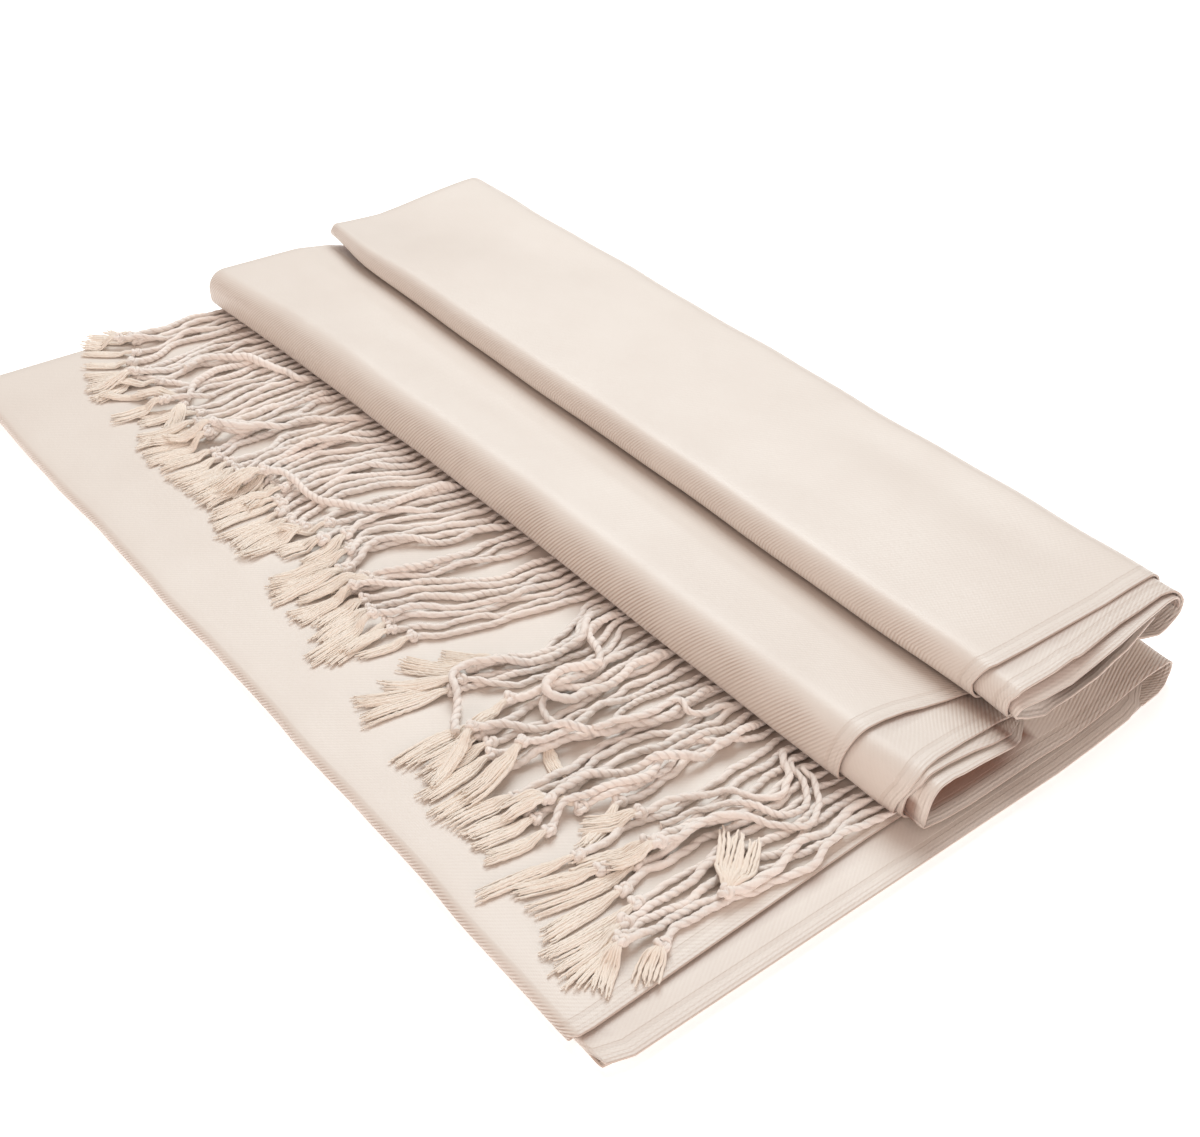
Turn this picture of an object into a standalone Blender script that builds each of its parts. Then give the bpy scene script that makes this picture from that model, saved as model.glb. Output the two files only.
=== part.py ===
"""A cream satin-twill shawl with a knotted fringe, folded flat for storage.

The cloth is folded in half along its length, so that each leaf has two plies joined at the far
side, and then across into three leaves that lie on each other. The folds run along X, the leaves
reach from the left folds (-Y) to the right folds (+Y), and the bundle rests on Z = 0.
Sizes are in millimetres and become metres when a mesh is made.
"""

from collections import namedtuple
from math import atan2, cos, hypot, pi, sin, tan

import bpy

MM = 0.001

# The cloth: wall thickness, and the distance from one ply to the next that lies on it.
WALL = 1.0
PLY_GAP = 0.3
PITCH = WALL + PLY_GAP

# How finely a fold and the turn at the far side are stepped, and when two points are one.
ARC_STEPS = 5
SOFT_STEPS = 2
SHARP_TURN = pi / 4.0
TURN_STEPS = 4
SAME_POINT = 0.001

# Where the left folds lie, and how high the top one is, from the far side to the near side.
Station = namedtuple("Station", "x base_left middle_left top_height")
STATIONS = (
    Station(-178.0, -112.0, -16.0, 27.6),
    Station(-110.0, -110.6, -12.8, 28.4),
    Station(-40.0, -108.8, -10.0, 29.1),
    Station(40.0, -107.0, -8.2, 29.6),
    Station(110.0, -105.9, -7.2, 29.9),
    Station(150.0, -105.4, -6.4, 30.0),
    Station(168.0, -105.1, -3.0, 30.0),
    Station(178.0, -105.0, -2.2, 30.0),
)
FAR = STATIONS[0].x

# Heights of the runs, as the middle of a ply's wall.
BASE_LOW = 0.5 * WALL
BASE_HIGH = BASE_LOW + 3 * PITCH
END_LEVEL = BASE_HIGH + PITCH
MIDDLE_LOW = END_LEVEL + PITCH
MIDDLE_CREST = 22.3
MIDDLE_LEVEL = 12.1
WRAP_LEVEL = MIDDLE_LEVEL - 2 * PITCH
TOP_LOW = MIDDLE_LEVEL + PITCH
TOP_TUCK = 18.5
TOP_HIGH = 30.0

# Places across the bundle where a run starts or ends and where the right folds lie.
BASE_SEAM = 90.0
BASE_RIGHT = 97.0
MIDDLE_START = 50.0
MIDDLE_RIGHT = 94.0
WRAP_START = 48.0
WRAP_RIGHT = 104.5
TOP_LEFT = 33.7
TOP_RIGHT = 111.5
TOP_INNER_RIGHT = 102.5
TOP_UNDER = 87.0

# Radii of the middle fold's two bends, and of the top one's as a share of its height.
LOW_BEND = 5.0
CREST_BEND = 8.0
TOP_BEND_SHARE = 0.47

# One bend of a ply's path: where its straight runs would meet, and the radius that rounds it.
Bend = namedtuple("Bend", "y z radius")

# Where each ply's near edge lies at the left and at the right side of the bundle.
Edge = namedtuple("Edge", "left right")
LEFT_SIDE = -100.0
RIGHT_SIDE = 100.0
BASE_OUTER = Edge(167.5, 167.5)
BASE_INNER = Edge(178.0, 175.4)
FRINGED_END = Edge(171.0, 149.0)
MIDDLE_OUTER = Edge(146.0, 154.4)
MIDDLE_SECOND = Edge(166.2, 166.5)
WRAP = Edge(174.4, 172.6)
TOP_OUTER = Edge(158.0, 158.0)
TOP_SECOND = Edge(167.5, 167.5)
TOP_THIRD = Edge(168.0, 172.0)

# The hidden layers inside a fold: where each ends at both sides, and how far in it starts.
Layer = namedtuple("Layer", "near far inset")
LAYERS = (Layer(130.0, -158.0, 0.0), Layer(138.0, -166.0, 1.1), Layer(146.0, -174.0, 2.0))
INSIDE = 2 * PITCH + 0.5 * WALL + PLY_GAP

# The fringe: how far its tips reach at each place along the fold, and how thick it lies there.
Tuft = namedtuple("Tuft", "x tip height")
TUFTS = (
    Tuft(-179.0, -62.0, 3.0),
    Tuft(-172.0, -66.0, 4.2),
    Tuft(-150.0, -76.0, 4.0),
    Tuft(-124.0, -68.0, 3.6),
    Tuft(-96.0, -81.0, 4.2),
    Tuft(-66.0, -79.0, 3.8),
    Tuft(-36.0, -83.0, 4.0),
    Tuft(-4.0, -85.0, 3.6),
    Tuft(22.0, -87.0, 4.2),
    Tuft(50.0, -89.5, 4.2),
    Tuft(76.0, -92.0, 3.8),
    Tuft(92.0, -96.0, 4.4),
    Tuft(118.0, -98.0, 3.8),
    Tuft(150.0, -95.0, 4.4),
    Tuft(162.0, -88.0, 4.0),
    Tuft(167.0, -80.0, 3.0),
)

# The fringe's cross-section: a share of the way from fold to tip, a step back towards the fold,
# and a share of the tuft's height.
Rib = namedtuple("Rib", "share back lift")
FRINGE_ROOT = 5.4
FRINGE_SECTION = (
    Rib(0.0, FRINGE_ROOT, 0.0),
    Rib(0.0, FRINGE_ROOT, 0.2),
    Rib(0.0, 1.0, 0.48),
    Rib(0.0, -5.0, 1.0),
    Rib(0.5, 0.0, 0.9),
    Rib(1.0, 12.0, 1.0),
    Rib(1.0, 2.0, 0.6),
    Rib(1.0, 0.0, 0.2),
    Rib(1.0, 2.0, 0.0),
)

# Linear colour, roughness and metallic value of each finish.
Finish = namedtuple("Finish", "name colour roughness metallic")
TWILL = Finish("cream satin twill", (0.80, 0.72, 0.66), 0.45, 0.0)
HIDDEN_TWILL = Finish("cream satin twill inside", (0.66, 0.56, 0.50), 0.60, 0.0)
TWISTED_YARN = Finish("cream twisted yarn", (0.84, 0.76, 0.67), 0.75, 0.0)


def fold_at(x, column):
    """The value of one column of STATIONS at x, between its two nearest rows."""
    for first, second in zip(STATIONS, STATIONS[1:]):
        if x <= second.x:
            break
    share = max(0.0, (x - first.x) / (second.x - first.x))
    return getattr(first, column) + share * (getattr(second, column) - getattr(first, column))


def middle_fold(x):
    """The middle of the outer ply's wall at the middle leaf's left fold."""
    return fold_at(x, "middle_left") + 0.5 * WALL


def top_run(x, y):
    """The height of the top leaf's upper run, which rises from its left fold to its right one."""
    left = fold_at(x, "top_height")
    return left + (TOP_HIGH - left) * (y - TOP_LEFT) / (TOP_RIGHT - TOP_LEFT)


def near_edge(edge, y):
    """How far the near edge reaches at y."""
    return edge.left + (edge.right - edge.left) * (y - LEFT_SIDE) / (RIGHT_SIDE - LEFT_SIDE)


def unit(a, b):
    """The direction from a to b."""
    length = hypot(b[0] - a[0], b[1] - a[1])
    return (b[0] - a[0]) / length, (b[1] - a[1]) / length


def rounded(bends):
    """The (y, z) points of a path of straight runs with an arc at each bend."""
    points = [(bends[0].y, bends[0].z)]
    for before, bend, after in zip(bends, bends[1:], bends[2:]):
        into = unit(before, bend)
        out = unit(bend, after)
        turn = atan2(into[0] * out[1] - into[1] * out[0], into[0] * out[0] + into[1] * out[1])
        side = 1.0 if turn > 0.0 else -1.0
        reach = bend.radius * tan(abs(turn) / 2.0)
        start = (bend.y - reach * into[0], bend.z - reach * into[1])
        centre = (start[0] - side * bend.radius * into[1], start[1] + side * bend.radius * into[0])
        arm = (start[0] - centre[0], start[1] - centre[1])
        steps = ARC_STEPS if abs(turn) > SHARP_TURN else SOFT_STEPS
        for step in range(steps + 1):
            angle = turn * step / steps
            point = (
                centre[0] + arm[0] * cos(angle) - arm[1] * sin(angle),
                centre[1] + arm[0] * sin(angle) + arm[1] * cos(angle),
            )
            if hypot(point[0] - points[-1][0], point[1] - points[-1][1]) > SAME_POINT:
                points.append(point)
    points.append((bends[-1].y, bends[-1].z))
    return points


def moved_in(points, distance):
    """The path moved to the right of its direction, with mitred corners."""
    moved = []
    for index, point in enumerate(points):
        before = unit(points[max(index - 1, 0)], points[max(index, 1)])
        after = unit(points[min(index, len(points) - 2)], points[min(index + 1, len(points) - 1)])
        normal = (before[1] + after[1], -before[0] - after[0])
        scale = distance * 2.0 / (normal[0] ** 2 + normal[1] ** 2)
        moved.append((point[0] + normal[0] * scale, point[1] + normal[1] * scale))
    return moved


def base_path(x):
    """The lowest leaf, from its seam under the bundle round the left fold to the right."""
    left = fold_at(x, "base_left") + 0.5 * WALL
    radius = (BASE_HIGH - BASE_LOW) / 2.0
    return rounded((
        Bend(BASE_SEAM, BASE_LOW, 0.0),
        Bend(left, BASE_LOW, radius),
        Bend(left, BASE_HIGH, radius),
        Bend(BASE_RIGHT, BASE_HIGH, 0.0),
    ))


def end_path(x):
    """The fringed end of the cloth, flat on the base leaf from the fringe to the right."""
    return [
        (fold_at(x, "middle_left") + FRINGE_ROOT + PLY_GAP, END_LEVEL),
        (BASE_SEAM, END_LEVEL),
    ]


def middle_slope(depth):
    """The bends of the middle leaf's upper run, which drops from its crest to the right."""
    return (
        Bend(22.0, 20.5 - depth, 30.0),
        Bend(36.0, 18.2 - depth, 14.0),
        Bend(48.0, 14.6 - depth, 14.0),
        Bend(60.0, MIDDLE_LEVEL - depth, 14.0),
    )


def middle_path(x):
    """The middle leaf: its lower run, the left fold, the crest and the slope to the right."""
    left = middle_fold(x)
    return rounded((
        Bend(MIDDLE_START, MIDDLE_LOW, 0.0),
        Bend(left, MIDDLE_LOW, LOW_BEND),
        Bend(left, MIDDLE_CREST, CREST_BEND),
        *middle_slope(0.0),
        Bend(MIDDLE_RIGHT, MIDDLE_LEVEL, 0.0),
    ))


def wrap_path(x):
    """The ply inside the middle leaf, which goes on round the right fold and under the base."""
    depth = 2 * PITCH
    left = middle_fold(x) + depth
    radius = (WRAP_LEVEL - BASE_LOW) / 2.0
    return rounded((
        Bend(WRAP_START, MIDDLE_LOW + depth, 0.0),
        Bend(left, MIDDLE_LOW + depth, LOW_BEND - depth),
        Bend(left, MIDDLE_CREST - depth, CREST_BEND - depth),
        *middle_slope(depth),
        Bend(WRAP_RIGHT, WRAP_LEVEL, radius),
        Bend(WRAP_RIGHT, BASE_LOW, radius),
        Bend(BASE_SEAM + PLY_GAP, BASE_LOW, 0.0),
    ))


def top_start(x):
    """The bends of the top leaf from its inner end, along its lower run and up its left fold."""
    return (
        Bend(97.0, 22.5, 0.0),
        Bend(86.0, TOP_TUCK, 10.0),
        Bend(72.0, TOP_LOW + 0.1, 8.0),
        Bend(60.0, TOP_LOW + 0.1, 12.0),
        Bend(49.5, TOP_LOW + 2.4, 12.0),
        Bend(39.5, 19.6, 6.0),
        Bend(TOP_LEFT, 19.8, 3.7),
        Bend(TOP_LEFT, fold_at(x, "top_height"), 3.8),
    )


def top_path(x):
    """The top leaf: its lower run, the left fold, the upper run and round the right fold."""
    radius = TOP_BEND_SHARE * (TOP_HIGH - TOP_LOW)
    return rounded((
        *top_start(x),
        Bend(TOP_RIGHT, TOP_HIGH, radius),
        Bend(TOP_RIGHT, TOP_LOW, radius),
        Bend(TOP_UNDER, TOP_LOW, 0.0),
    ))


def top_inner_path(x):
    """The ply inside the top leaf, which stops short of the right fold."""
    return rounded((*top_start(x), Bend(TOP_INNER_RIGHT, top_run(x, TOP_INNER_RIGHT), 0.0)))


def middle_inside(x):
    """The room inside the middle leaf's left fold, as far as the slope leaves it open."""
    left = middle_fold(x)
    return rounded((
        Bend(30.0, MIDDLE_LOW, 0.0),
        Bend(left, MIDDLE_LOW, 6.0),
        Bend(left, MIDDLE_CREST, CREST_BEND),
        Bend(22.0, 20.5, 30.0),
        Bend(30.0, 19.3, 0.0),
    ))


def top_inside(x):
    """The room inside the top leaf, as far as its lower run leaves it open."""
    return rounded((
        Bend(86.0, TOP_TUCK, 0.0),
        Bend(72.0, TOP_LOW + 0.1, 8.0),
        Bend(60.0, TOP_LOW + 0.1, 12.0),
        Bend(50.0, TOP_LOW + 2.4, 5.5),
        Bend(50.0, top_run(x, 50.0), 5.5),
        Bend(86.0, top_run(x, 86.0), 0.0),
    ))


def finished(name, vertices, faces, finish, collection):
    """An object in the collection from millimetre vertices, with its own material."""
    mesh = bpy.data.meshes.new(name)
    mesh.from_pydata([(x * MM, y * MM, z * MM) for x, y, z in vertices], [], faces)
    mesh.update()
    mesh.shade_smooth()
    material = bpy.data.materials.new(f"{name} {finish.name}")
    material.use_nodes = True
    shader = material.node_tree.nodes["Principled BSDF"]
    shader.inputs["Base Color"].default_value = (*finish.colour, 1.0)
    shader.inputs["Roughness"].default_value = finish.roughness
    shader.inputs["Metallic"].default_value = finish.metallic
    mesh.materials.append(material)
    piece = bpy.data.objects.new(name, mesh)
    collection.objects.link(piece)
    return piece


def strips(rows, columns):
    """The faces between neighbouring rows of a grid of vertices."""
    return [
        (row * columns + column, row * columns + column + 1,
         (row + 1) * columns + column + 1, (row + 1) * columns + column)
        for row in range(rows - 1)
        for column in range(columns - 1)
    ]


def row_at(path, x, depth):
    """The points of a ply across the bundle at x, moved into its fold by the depth."""
    return [(x, y, z) for y, z in moved_in(path(x), depth)]


def ply_rows(path, edge, depth):
    """Rows of one ply from the far side to its near edge."""
    rows = [row_at(path, station.x, depth) for station in STATIONS if station.x < min(edge)]
    near = []
    for index, (_, y, _) in enumerate(row_at(path, min(edge), depth)):
        near.append(row_at(path, near_edge(edge, y), depth)[index])
    return [*rows, near]


def leaf_rows(path, outer, inner):
    """Rows of a leaf: the outer ply, the turn at the far side, and the inner ply."""
    radius = PITCH / 2.0
    turn = []
    for step in range(TURN_STEPS + 1):
        angle = pi * step / TURN_STEPS
        turn.append(row_at(path, FAR + radius * (1.0 - sin(angle)), radius * (1.0 - cos(angle))))
    return [*ply_rows(path, outer, 0.0)[:0:-1], *turn, *ply_rows(path, inner, PITCH)[1:]]


def sheet(name, rows, finish, collection):
    """A walled sheet through rows of points."""
    vertices = [point for row in rows for point in row]
    piece = finished(name, vertices, strips(len(rows), len(rows[0])), finish, collection)
    wall = piece.modifiers.new("Wall", "SOLIDIFY")
    wall.thickness = WALL * MM
    wall.offset = 0.0
    wall.use_even_offset = True


def capped_loft(name, rings, finish, collection):
    """A closed solid through rings of equal length, with its two ends capped."""
    columns = len(rings[0])
    faces = strips(len(rings), columns)
    for row in range(len(rings) - 1):
        last = row * columns + columns - 1
        faces.append((last, row * columns, (row + 1) * columns, last + columns))
    faces.append(tuple(reversed(range(columns))))
    faces.append(tuple(range((len(rings) - 1) * columns, len(rings) * columns)))
    finished(name, [point for ring in rings for point in ring], faces, finish, collection)


def hidden_layers(name, path, collection):
    """The layers inside a fold as one rounded solid, stepped at both ends."""
    near = [(LAYERS[0].near, LAYERS[0].inset)]
    far = [(LAYERS[0].far, LAYERS[0].inset)]
    for layer, deeper in zip(LAYERS, LAYERS[1:]):
        near += [(layer.near, deeper.inset), (deeper.near, deeper.inset)]
        far += [(layer.far, deeper.inset), (deeper.far, deeper.inset)]
    between = [(s.x, 0.0) for s in STATIONS if LAYERS[0].far < s.x < LAYERS[0].near]
    rings = [row_at(path, x, INSIDE + inset) for x, inset in (*far[::-1], *between, *near)]
    capped_loft(name, [ring[::-1] for ring in rings], HIDDEN_TWILL, collection)


def fringe(collection):
    """The reach of the fringe, from the cloth's end under the middle fold to the tips."""
    floor = BASE_HIGH + 0.5 * WALL + PLY_GAP
    rings = []
    for tuft in TUFTS:
        fold = fold_at(tuft.x, "middle_left")
        rings.append([
            (tuft.x, fold + rib.share * (tuft.tip - fold) + rib.back, floor + rib.lift * tuft.height)
            for rib in FRINGE_SECTION
        ])
    capped_loft("fringe", rings, TWISTED_YARN, collection)


def main():
    """Clears the scene and builds the folded shawl."""
    for old in list(bpy.data.objects):
        bpy.data.objects.remove(old)
    shawl = bpy.data.collections.new("folded_shawl")
    bpy.context.scene.collection.children.link(shawl)

    sheet("base_leaf", leaf_rows(base_path, BASE_OUTER, BASE_INNER), TWILL, shawl)
    sheet("fringed_end", ply_rows(end_path, FRINGED_END, 0.0), TWILL, shawl)
    fringe(shawl)
    sheet("middle_leaf", leaf_rows(middle_path, MIDDLE_OUTER, MIDDLE_SECOND), TWILL, shawl)
    sheet("wrap_ply", ply_rows(wrap_path, WRAP, 0.0), TWILL, shawl)
    hidden_layers("middle_hidden_layers", middle_inside, shawl)
    sheet("top_leaf", leaf_rows(top_path, TOP_OUTER, TOP_SECOND), TWILL, shawl)
    sheet("top_inner_ply", ply_rows(top_inner_path, TOP_THIRD, 2 * PITCH), TWILL, shawl)
    hidden_layers("top_hidden_layers", top_inside, shawl)


main()
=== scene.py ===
"""A folded cream satin-twill head wrap with a knotted fringe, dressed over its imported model.

Sizes here are in millimetres and become metres when a mesh is made. The folds run along X, the
leaves reach from the left folds (-Y) to the right folds (+Y), and the bundle rests on Z = 0.
"""

import logging
import math
import random
from collections.abc import Callable, Sequence
from dataclasses import dataclass, field, replace
from enum import Enum
from functools import cached_property

import bpy
import numpy as np
from mathutils import Matrix, Vector


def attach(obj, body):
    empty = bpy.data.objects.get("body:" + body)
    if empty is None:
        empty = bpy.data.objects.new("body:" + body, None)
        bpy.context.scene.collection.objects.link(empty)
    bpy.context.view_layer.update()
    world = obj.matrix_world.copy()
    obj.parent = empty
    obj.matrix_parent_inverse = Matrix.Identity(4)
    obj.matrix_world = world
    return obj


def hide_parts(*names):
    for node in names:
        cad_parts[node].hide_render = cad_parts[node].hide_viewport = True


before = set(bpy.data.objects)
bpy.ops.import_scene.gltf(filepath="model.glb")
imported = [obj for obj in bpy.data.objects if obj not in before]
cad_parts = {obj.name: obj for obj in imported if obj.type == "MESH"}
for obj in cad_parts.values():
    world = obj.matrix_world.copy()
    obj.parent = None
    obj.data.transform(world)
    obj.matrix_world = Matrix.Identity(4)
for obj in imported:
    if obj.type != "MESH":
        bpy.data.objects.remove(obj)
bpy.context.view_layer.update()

LOG = logging.getLogger("head_wrap")
MM = 0.001
ROOT = "root"


# ---------------------------------------------------------------- the bundle's sizes


@dataclass(frozen=True)
class Bend:
    """A bend of a ply's path: where its straight runs would meet, and the radius rounding it."""

    y: float
    z: float
    radius: float = 0.0


@dataclass(frozen=True)
class Bundle:
    """The sizes that all the leaves share."""

    far: float = -178.0
    wall: float = 0.62
    pitch: float = 1.3
    base_low: float = 0.5
    base_high: float = 4.4
    end_level: float = 5.7
    middle_low: float = 7.0
    middle_level: float = 12.1
    wrap_level: float = 9.5
    wrap_low: float = 1.8
    wrap_right: tuple[tuple[float, float], ...] = ((-178.0, 104.5), (120.0, 104.5), (178.0, 106.8))
    top_low: float = 13.4
    top_tuck: float = 18.5
    top_high: float = 30.0
    top_right: float = 111.5
    base_left: tuple[tuple[float, float], ...] = (
        (-178.0, -112.0), (-110.0, -110.6), (-40.0, -108.8), (40.0, -107.0), (110.0, -105.9), (150.0, -105.4),
        (178.0, -105.0),
    )
    middle_left: tuple[tuple[float, float], ...] = (
        (-178.0, -16.8), (-160.0, -15.4), (-110.0, -12.8), (-40.0, -10.0), (40.0, -8.2), (110.0, -7.2),
        (150.0, -6.4), (168.0, -3.0), (178.0, -2.2),
    )
    middle_crest: tuple[tuple[float, float], ...] = (
        (-178.0, 20.9), (-140.0, 21.5), (-100.0, 22.3), (178.0, 22.3),
    )
    top_left: tuple[tuple[float, float], ...] = (
        (-178.0, 37.9), (-168.0, 36.3), (-152.0, 33.9), (-140.0, 33.7), (178.0, 33.7),
    )
    top_height: tuple[tuple[float, float], ...] = (
        (-178.0, 26.9), (-150.0, 27.8), (-110.0, 28.4), (-40.0, 29.1), (40.0, 29.6), (110.0, 29.9),
        (150.0, 30.0), (178.0, 30.0),
    )

    @staticmethod
    def along(column: tuple[tuple[float, float], ...], x: float) -> float:
        """Reads a column of (x, value) places at x, with its corners softened.

        Args:
            column: The places along the folds and the value at each.
            x: The place along the folds.

        Returns:
            The value there.
        """
        spread = x + np.linspace(-6.0, 6.0, 7)
        return float(np.interp(spread, [p[0] for p in column], [p[1] for p in column]).mean())

    def painted_shade(self, x: np.ndarray, y: np.ndarray, z: np.ndarray) -> np.ndarray:
        """How much painted shade each point gets.

        The shade is painted under the left folds, as a soft painted shadow beside them, inside the top
        leaf, and low on the base leaf's left edge.

        Args:
            x: Places along the folds.
            y: Places across the bundle.
            z: Heights.

        Returns:
            A share from 0 to 1 at each point.
        """
        # Painted shade: darkening put into the colour inside the top leaf, under and beside the left folds,
        # and low on the base leaf's left edge.
        across = smooth((y - 37.0) / 3.0) * smooth((107.0 - y) / 3.0)
        inside = across * smooth((z - 15.2) / 1.5) * smooth((26.5 - z) / 1.5)
        found = 0.6 * inside * smooth((169.0 - x) / 12.0)
        for column, level in ((self.top_left, 15.6), (self.middle_left, 6.2)):
            fold = np.interp(x, [p[0] for p in column], [p[1] for p in column]) + 1.6
            found = np.maximum(found, 0.8 * np.exp(-((y - fold) / 2.0) ** 2 - ((z - level) / 2.2) ** 2))
            beside = np.exp(-((y - fold + 1.0) / 6.0) ** 2)
            found = np.maximum(found, 0.09 * beside * smooth((level + 5.5 - z) / 3.0))
        left = np.interp(x, [p[0] for p in self.base_left], [p[1] for p in self.base_left])
        return np.maximum(found, 0.3 * smooth((left + 3.0 - y) / 2.5) * smooth((3.4 - z) / 2.0))

    def middle_fold(self, x: float) -> float:
        """The middle of the outer ply's wall at the middle leaf's left fold."""
        return self.along(self.middle_left, x) + 0.5

    def far_share(self, x: float) -> float:
        """How near a place lies to the far side, where the folds are pressed flatter."""
        return float(smooth(np.array((-120.0 - x) / 58.0)))

    def crest_radius(self, x: float) -> float:
        """The radius of the middle leaf's crest."""
        return 9.0 - 2.4 * self.far_share(x)

    def top_run(self, x: float, y: float) -> float:
        """The height of the top leaf's upper run at a place."""
        left, fold = self.along(self.top_height, x), self.along(self.top_left, x)
        return left + (self.top_high - left) * (y - fold) / (self.top_right - fold)

    def base_bends(self, x: float) -> tuple[Bend, ...]:
        """The lowest leaf, from its seam under the bundle round the left fold to the right."""
        left = self.along(self.base_left, x) + 0.5
        radius = (self.base_high - self.base_low) / 2.0
        return (
            Bend(90.0, self.base_low), Bend(left, self.base_low, radius),
            Bend(left, self.base_high, radius), Bend(97.0, self.base_high),
        )

    def end_bends(self, x: float) -> tuple[Bend, ...]:
        """The fringed end of the cloth, flat on the base leaf."""
        return (Bend(self.middle_fold(x) + 5.2, self.end_level), Bend(90.0, self.end_level))

    def slope_bends(self, depth: float) -> tuple[Bend, ...]:
        """The bends of the middle leaf's upper run, which drops from its crest to the right."""
        return (
            Bend(22.0, 20.5 - depth, 30.0), Bend(36.0, 18.2 - depth, 14.0),
            Bend(48.0, 14.6 - depth, 14.0), Bend(60.0, self.middle_level - depth, 14.0),
        )

    def middle_bends(self, x: float) -> tuple[Bend, ...]:
        """The middle leaf: its lower run, the left fold, the crest and the slope."""
        left = self.middle_fold(x)
        return (
            Bend(50.0, self.middle_low), Bend(left, self.middle_low, 3.8),
            Bend(left, self.along(self.middle_crest, x), self.crest_radius(x)), *self.slope_bends(0.0),
            Bend(94.0, self.middle_level),
        )

    def wrap_bends(self, x: float) -> tuple[Bend, ...]:
        """The layer inside the middle leaf, from under its slope round both folds to the base."""
        depth = 2.0 * self.pitch
        left = self.middle_fold(x) + depth
        low = self.middle_low + depth
        radius = (self.wrap_level - self.pitch - self.wrap_low) / 2.0
        right = self.along(self.wrap_right, x) - self.pitch
        return (
            Bend(55.0, 13.0 - depth), Bend(48.0, 14.6 - depth, 10.0), Bend(36.0, 18.2 - depth, 14.0),
            Bend(22.0, 20.5 - depth, 30.0),
            Bend(left, self.along(self.middle_crest, x) - depth, self.crest_radius(x) - depth),
            Bend(left, low, 3.8 - depth), Bend(46.0, low, 24.0),
            Bend(58.0, self.wrap_level - self.pitch, 24.0),
            Bend(right, self.wrap_level - self.pitch, radius), Bend(right, self.wrap_low, radius),
            Bend(90.4, self.wrap_low),
        )

    def top_start(self, x: float) -> tuple[Bend, ...]:
        """The top leaf's bends from its inner end, along its lower run and up its left fold."""
        fold, top = self.along(self.top_left, x), self.along(self.top_height, x)
        low = 19.8 + 3.1 * self.far_share(x)
        return (
            Bend(97.0, 22.5), Bend(86.0, self.top_tuck, 10.0), Bend(72.0, self.top_low + 0.1, 8.0),
            Bend(60.0, self.top_low + 0.1, 12.0), Bend(fold + 15.8, self.top_low + 2.4, 12.0),
            Bend(fold + 5.8, 0.5 * low + 9.7, 6.0), Bend(fold - 0.9, low, 0.38 * (top - low)),
            Bend(fold + 1.8, top, 0.56 * (top - low)),
        )

    def top_bends(self, x: float) -> tuple[Bend, ...]:
        """The top leaf: its lower run, left fold, upper run and the turn of its right fold."""
        radius = 0.47 * (self.top_high - self.top_low)
        return (
            *self.top_start(x), Bend(self.top_right, self.top_high, radius),
            Bend(self.top_right, self.top_low, radius), Bend(87.0, self.top_low),
        )

    def top_inner_bends(self, x: float) -> tuple[Bend, ...]:
        """The ply inside the top leaf, which ends against the inside of the right fold.

        Towards the far side from about x = -130 the last arc overruns its end, because the upper
        run slopes more there, so the ply comes out through the leaf. This is a known fault.
        """
        radius = 0.47 * (self.top_high - self.top_low)
        return (*self.top_start(x), Bend(self.top_right, self.top_high, radius), Bend(self.top_right, 22.0))

    def middle_inside(self, x: float) -> tuple[Bend, ...]:
        """The layer tucked inside the middle leaf's left fold, which meets the ply outside it."""
        inset = 4.4 * self.pitch
        left = self.middle_fold(x) + inset
        return (
            Bend(28.0, self.middle_low + inset), Bend(left, self.middle_low + inset, 2.2),
            Bend(left, self.along(self.middle_crest, x) - inset, 2.2), Bend(22.0, 20.2 - inset, 20.0),
            Bend(27.0, 19.6 - inset),
        )

    def top_inside(self, x: float) -> tuple[Bend, ...]:
        """The layer tucked inside the top leaf, which meets the ply outside it."""
        inset = 3.2 * self.pitch
        return (
            Bend(80.0, self.top_tuck + inset - 1.5), Bend(72.0, self.top_low + inset, 8.0),
            Bend(54.0, self.top_low + inset, 2.4),
            Bend(54.0, self.top_run(x, 54.0) - inset, 2.4), Bend(86.0, self.top_run(x, 86.0) - inset),
        )


BUNDLE = Bundle()


@dataclass(frozen=True)
class Hem:
    """One place of a ply's near edge: where its path passes, how far it reaches, and its lift."""

    y: float
    z: float
    reach: float
    lift: float = 0.0


@dataclass(frozen=True)
class NearEdge:
    """A ply's near edge, as places in the order of its path, and how far back their lift fades."""

    hems: tuple[Hem, ...]
    fade: float = 16.0

    @property
    def most(self) -> float:
        """The furthest that the edge reaches."""
        return max(hem.reach for hem in self.hems)

    def at(self, y: np.ndarray, z: np.ndarray) -> tuple[np.ndarray, np.ndarray]:
        """Finds the near edge along a ply's path.

        Args:
            y: The path's places across the bundle.
            z: The path's heights.

        Returns:
            How far the edge reaches and how far it is lifted at each point of the path.
        """
        along = np.concatenate([[0.0], np.cumsum(np.hypot(np.diff(y), np.diff(z)))])
        spots: list[float] = []
        first = 0
        for hem in self.hems:
            gap = np.hypot(y[first:] - hem.y, z[first:] - hem.z)
            near = np.flatnonzero(gap <= gap.min() + 1.2)
            breaks = np.flatnonzero(np.diff(near) > 1)
            near = near[:breaks[0] + 1] if breaks.size else near
            first += int(near[np.argmin(gap[near])])
            spots.append(float(along[first]))
        return (
            np.interp(along, spots, [hem.reach for hem in self.hems]),
            np.interp(along, spots, [hem.lift for hem in self.hems]),
        )


def smooth(share: np.ndarray) -> np.ndarray:
    """A share from 0 to 1 with soft ends."""
    share = np.clip(share, 0.0, 1.0)
    return share * share * (3.0 - 2.0 * share)


# ---------------------------------------------------------------- paths and drape


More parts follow.
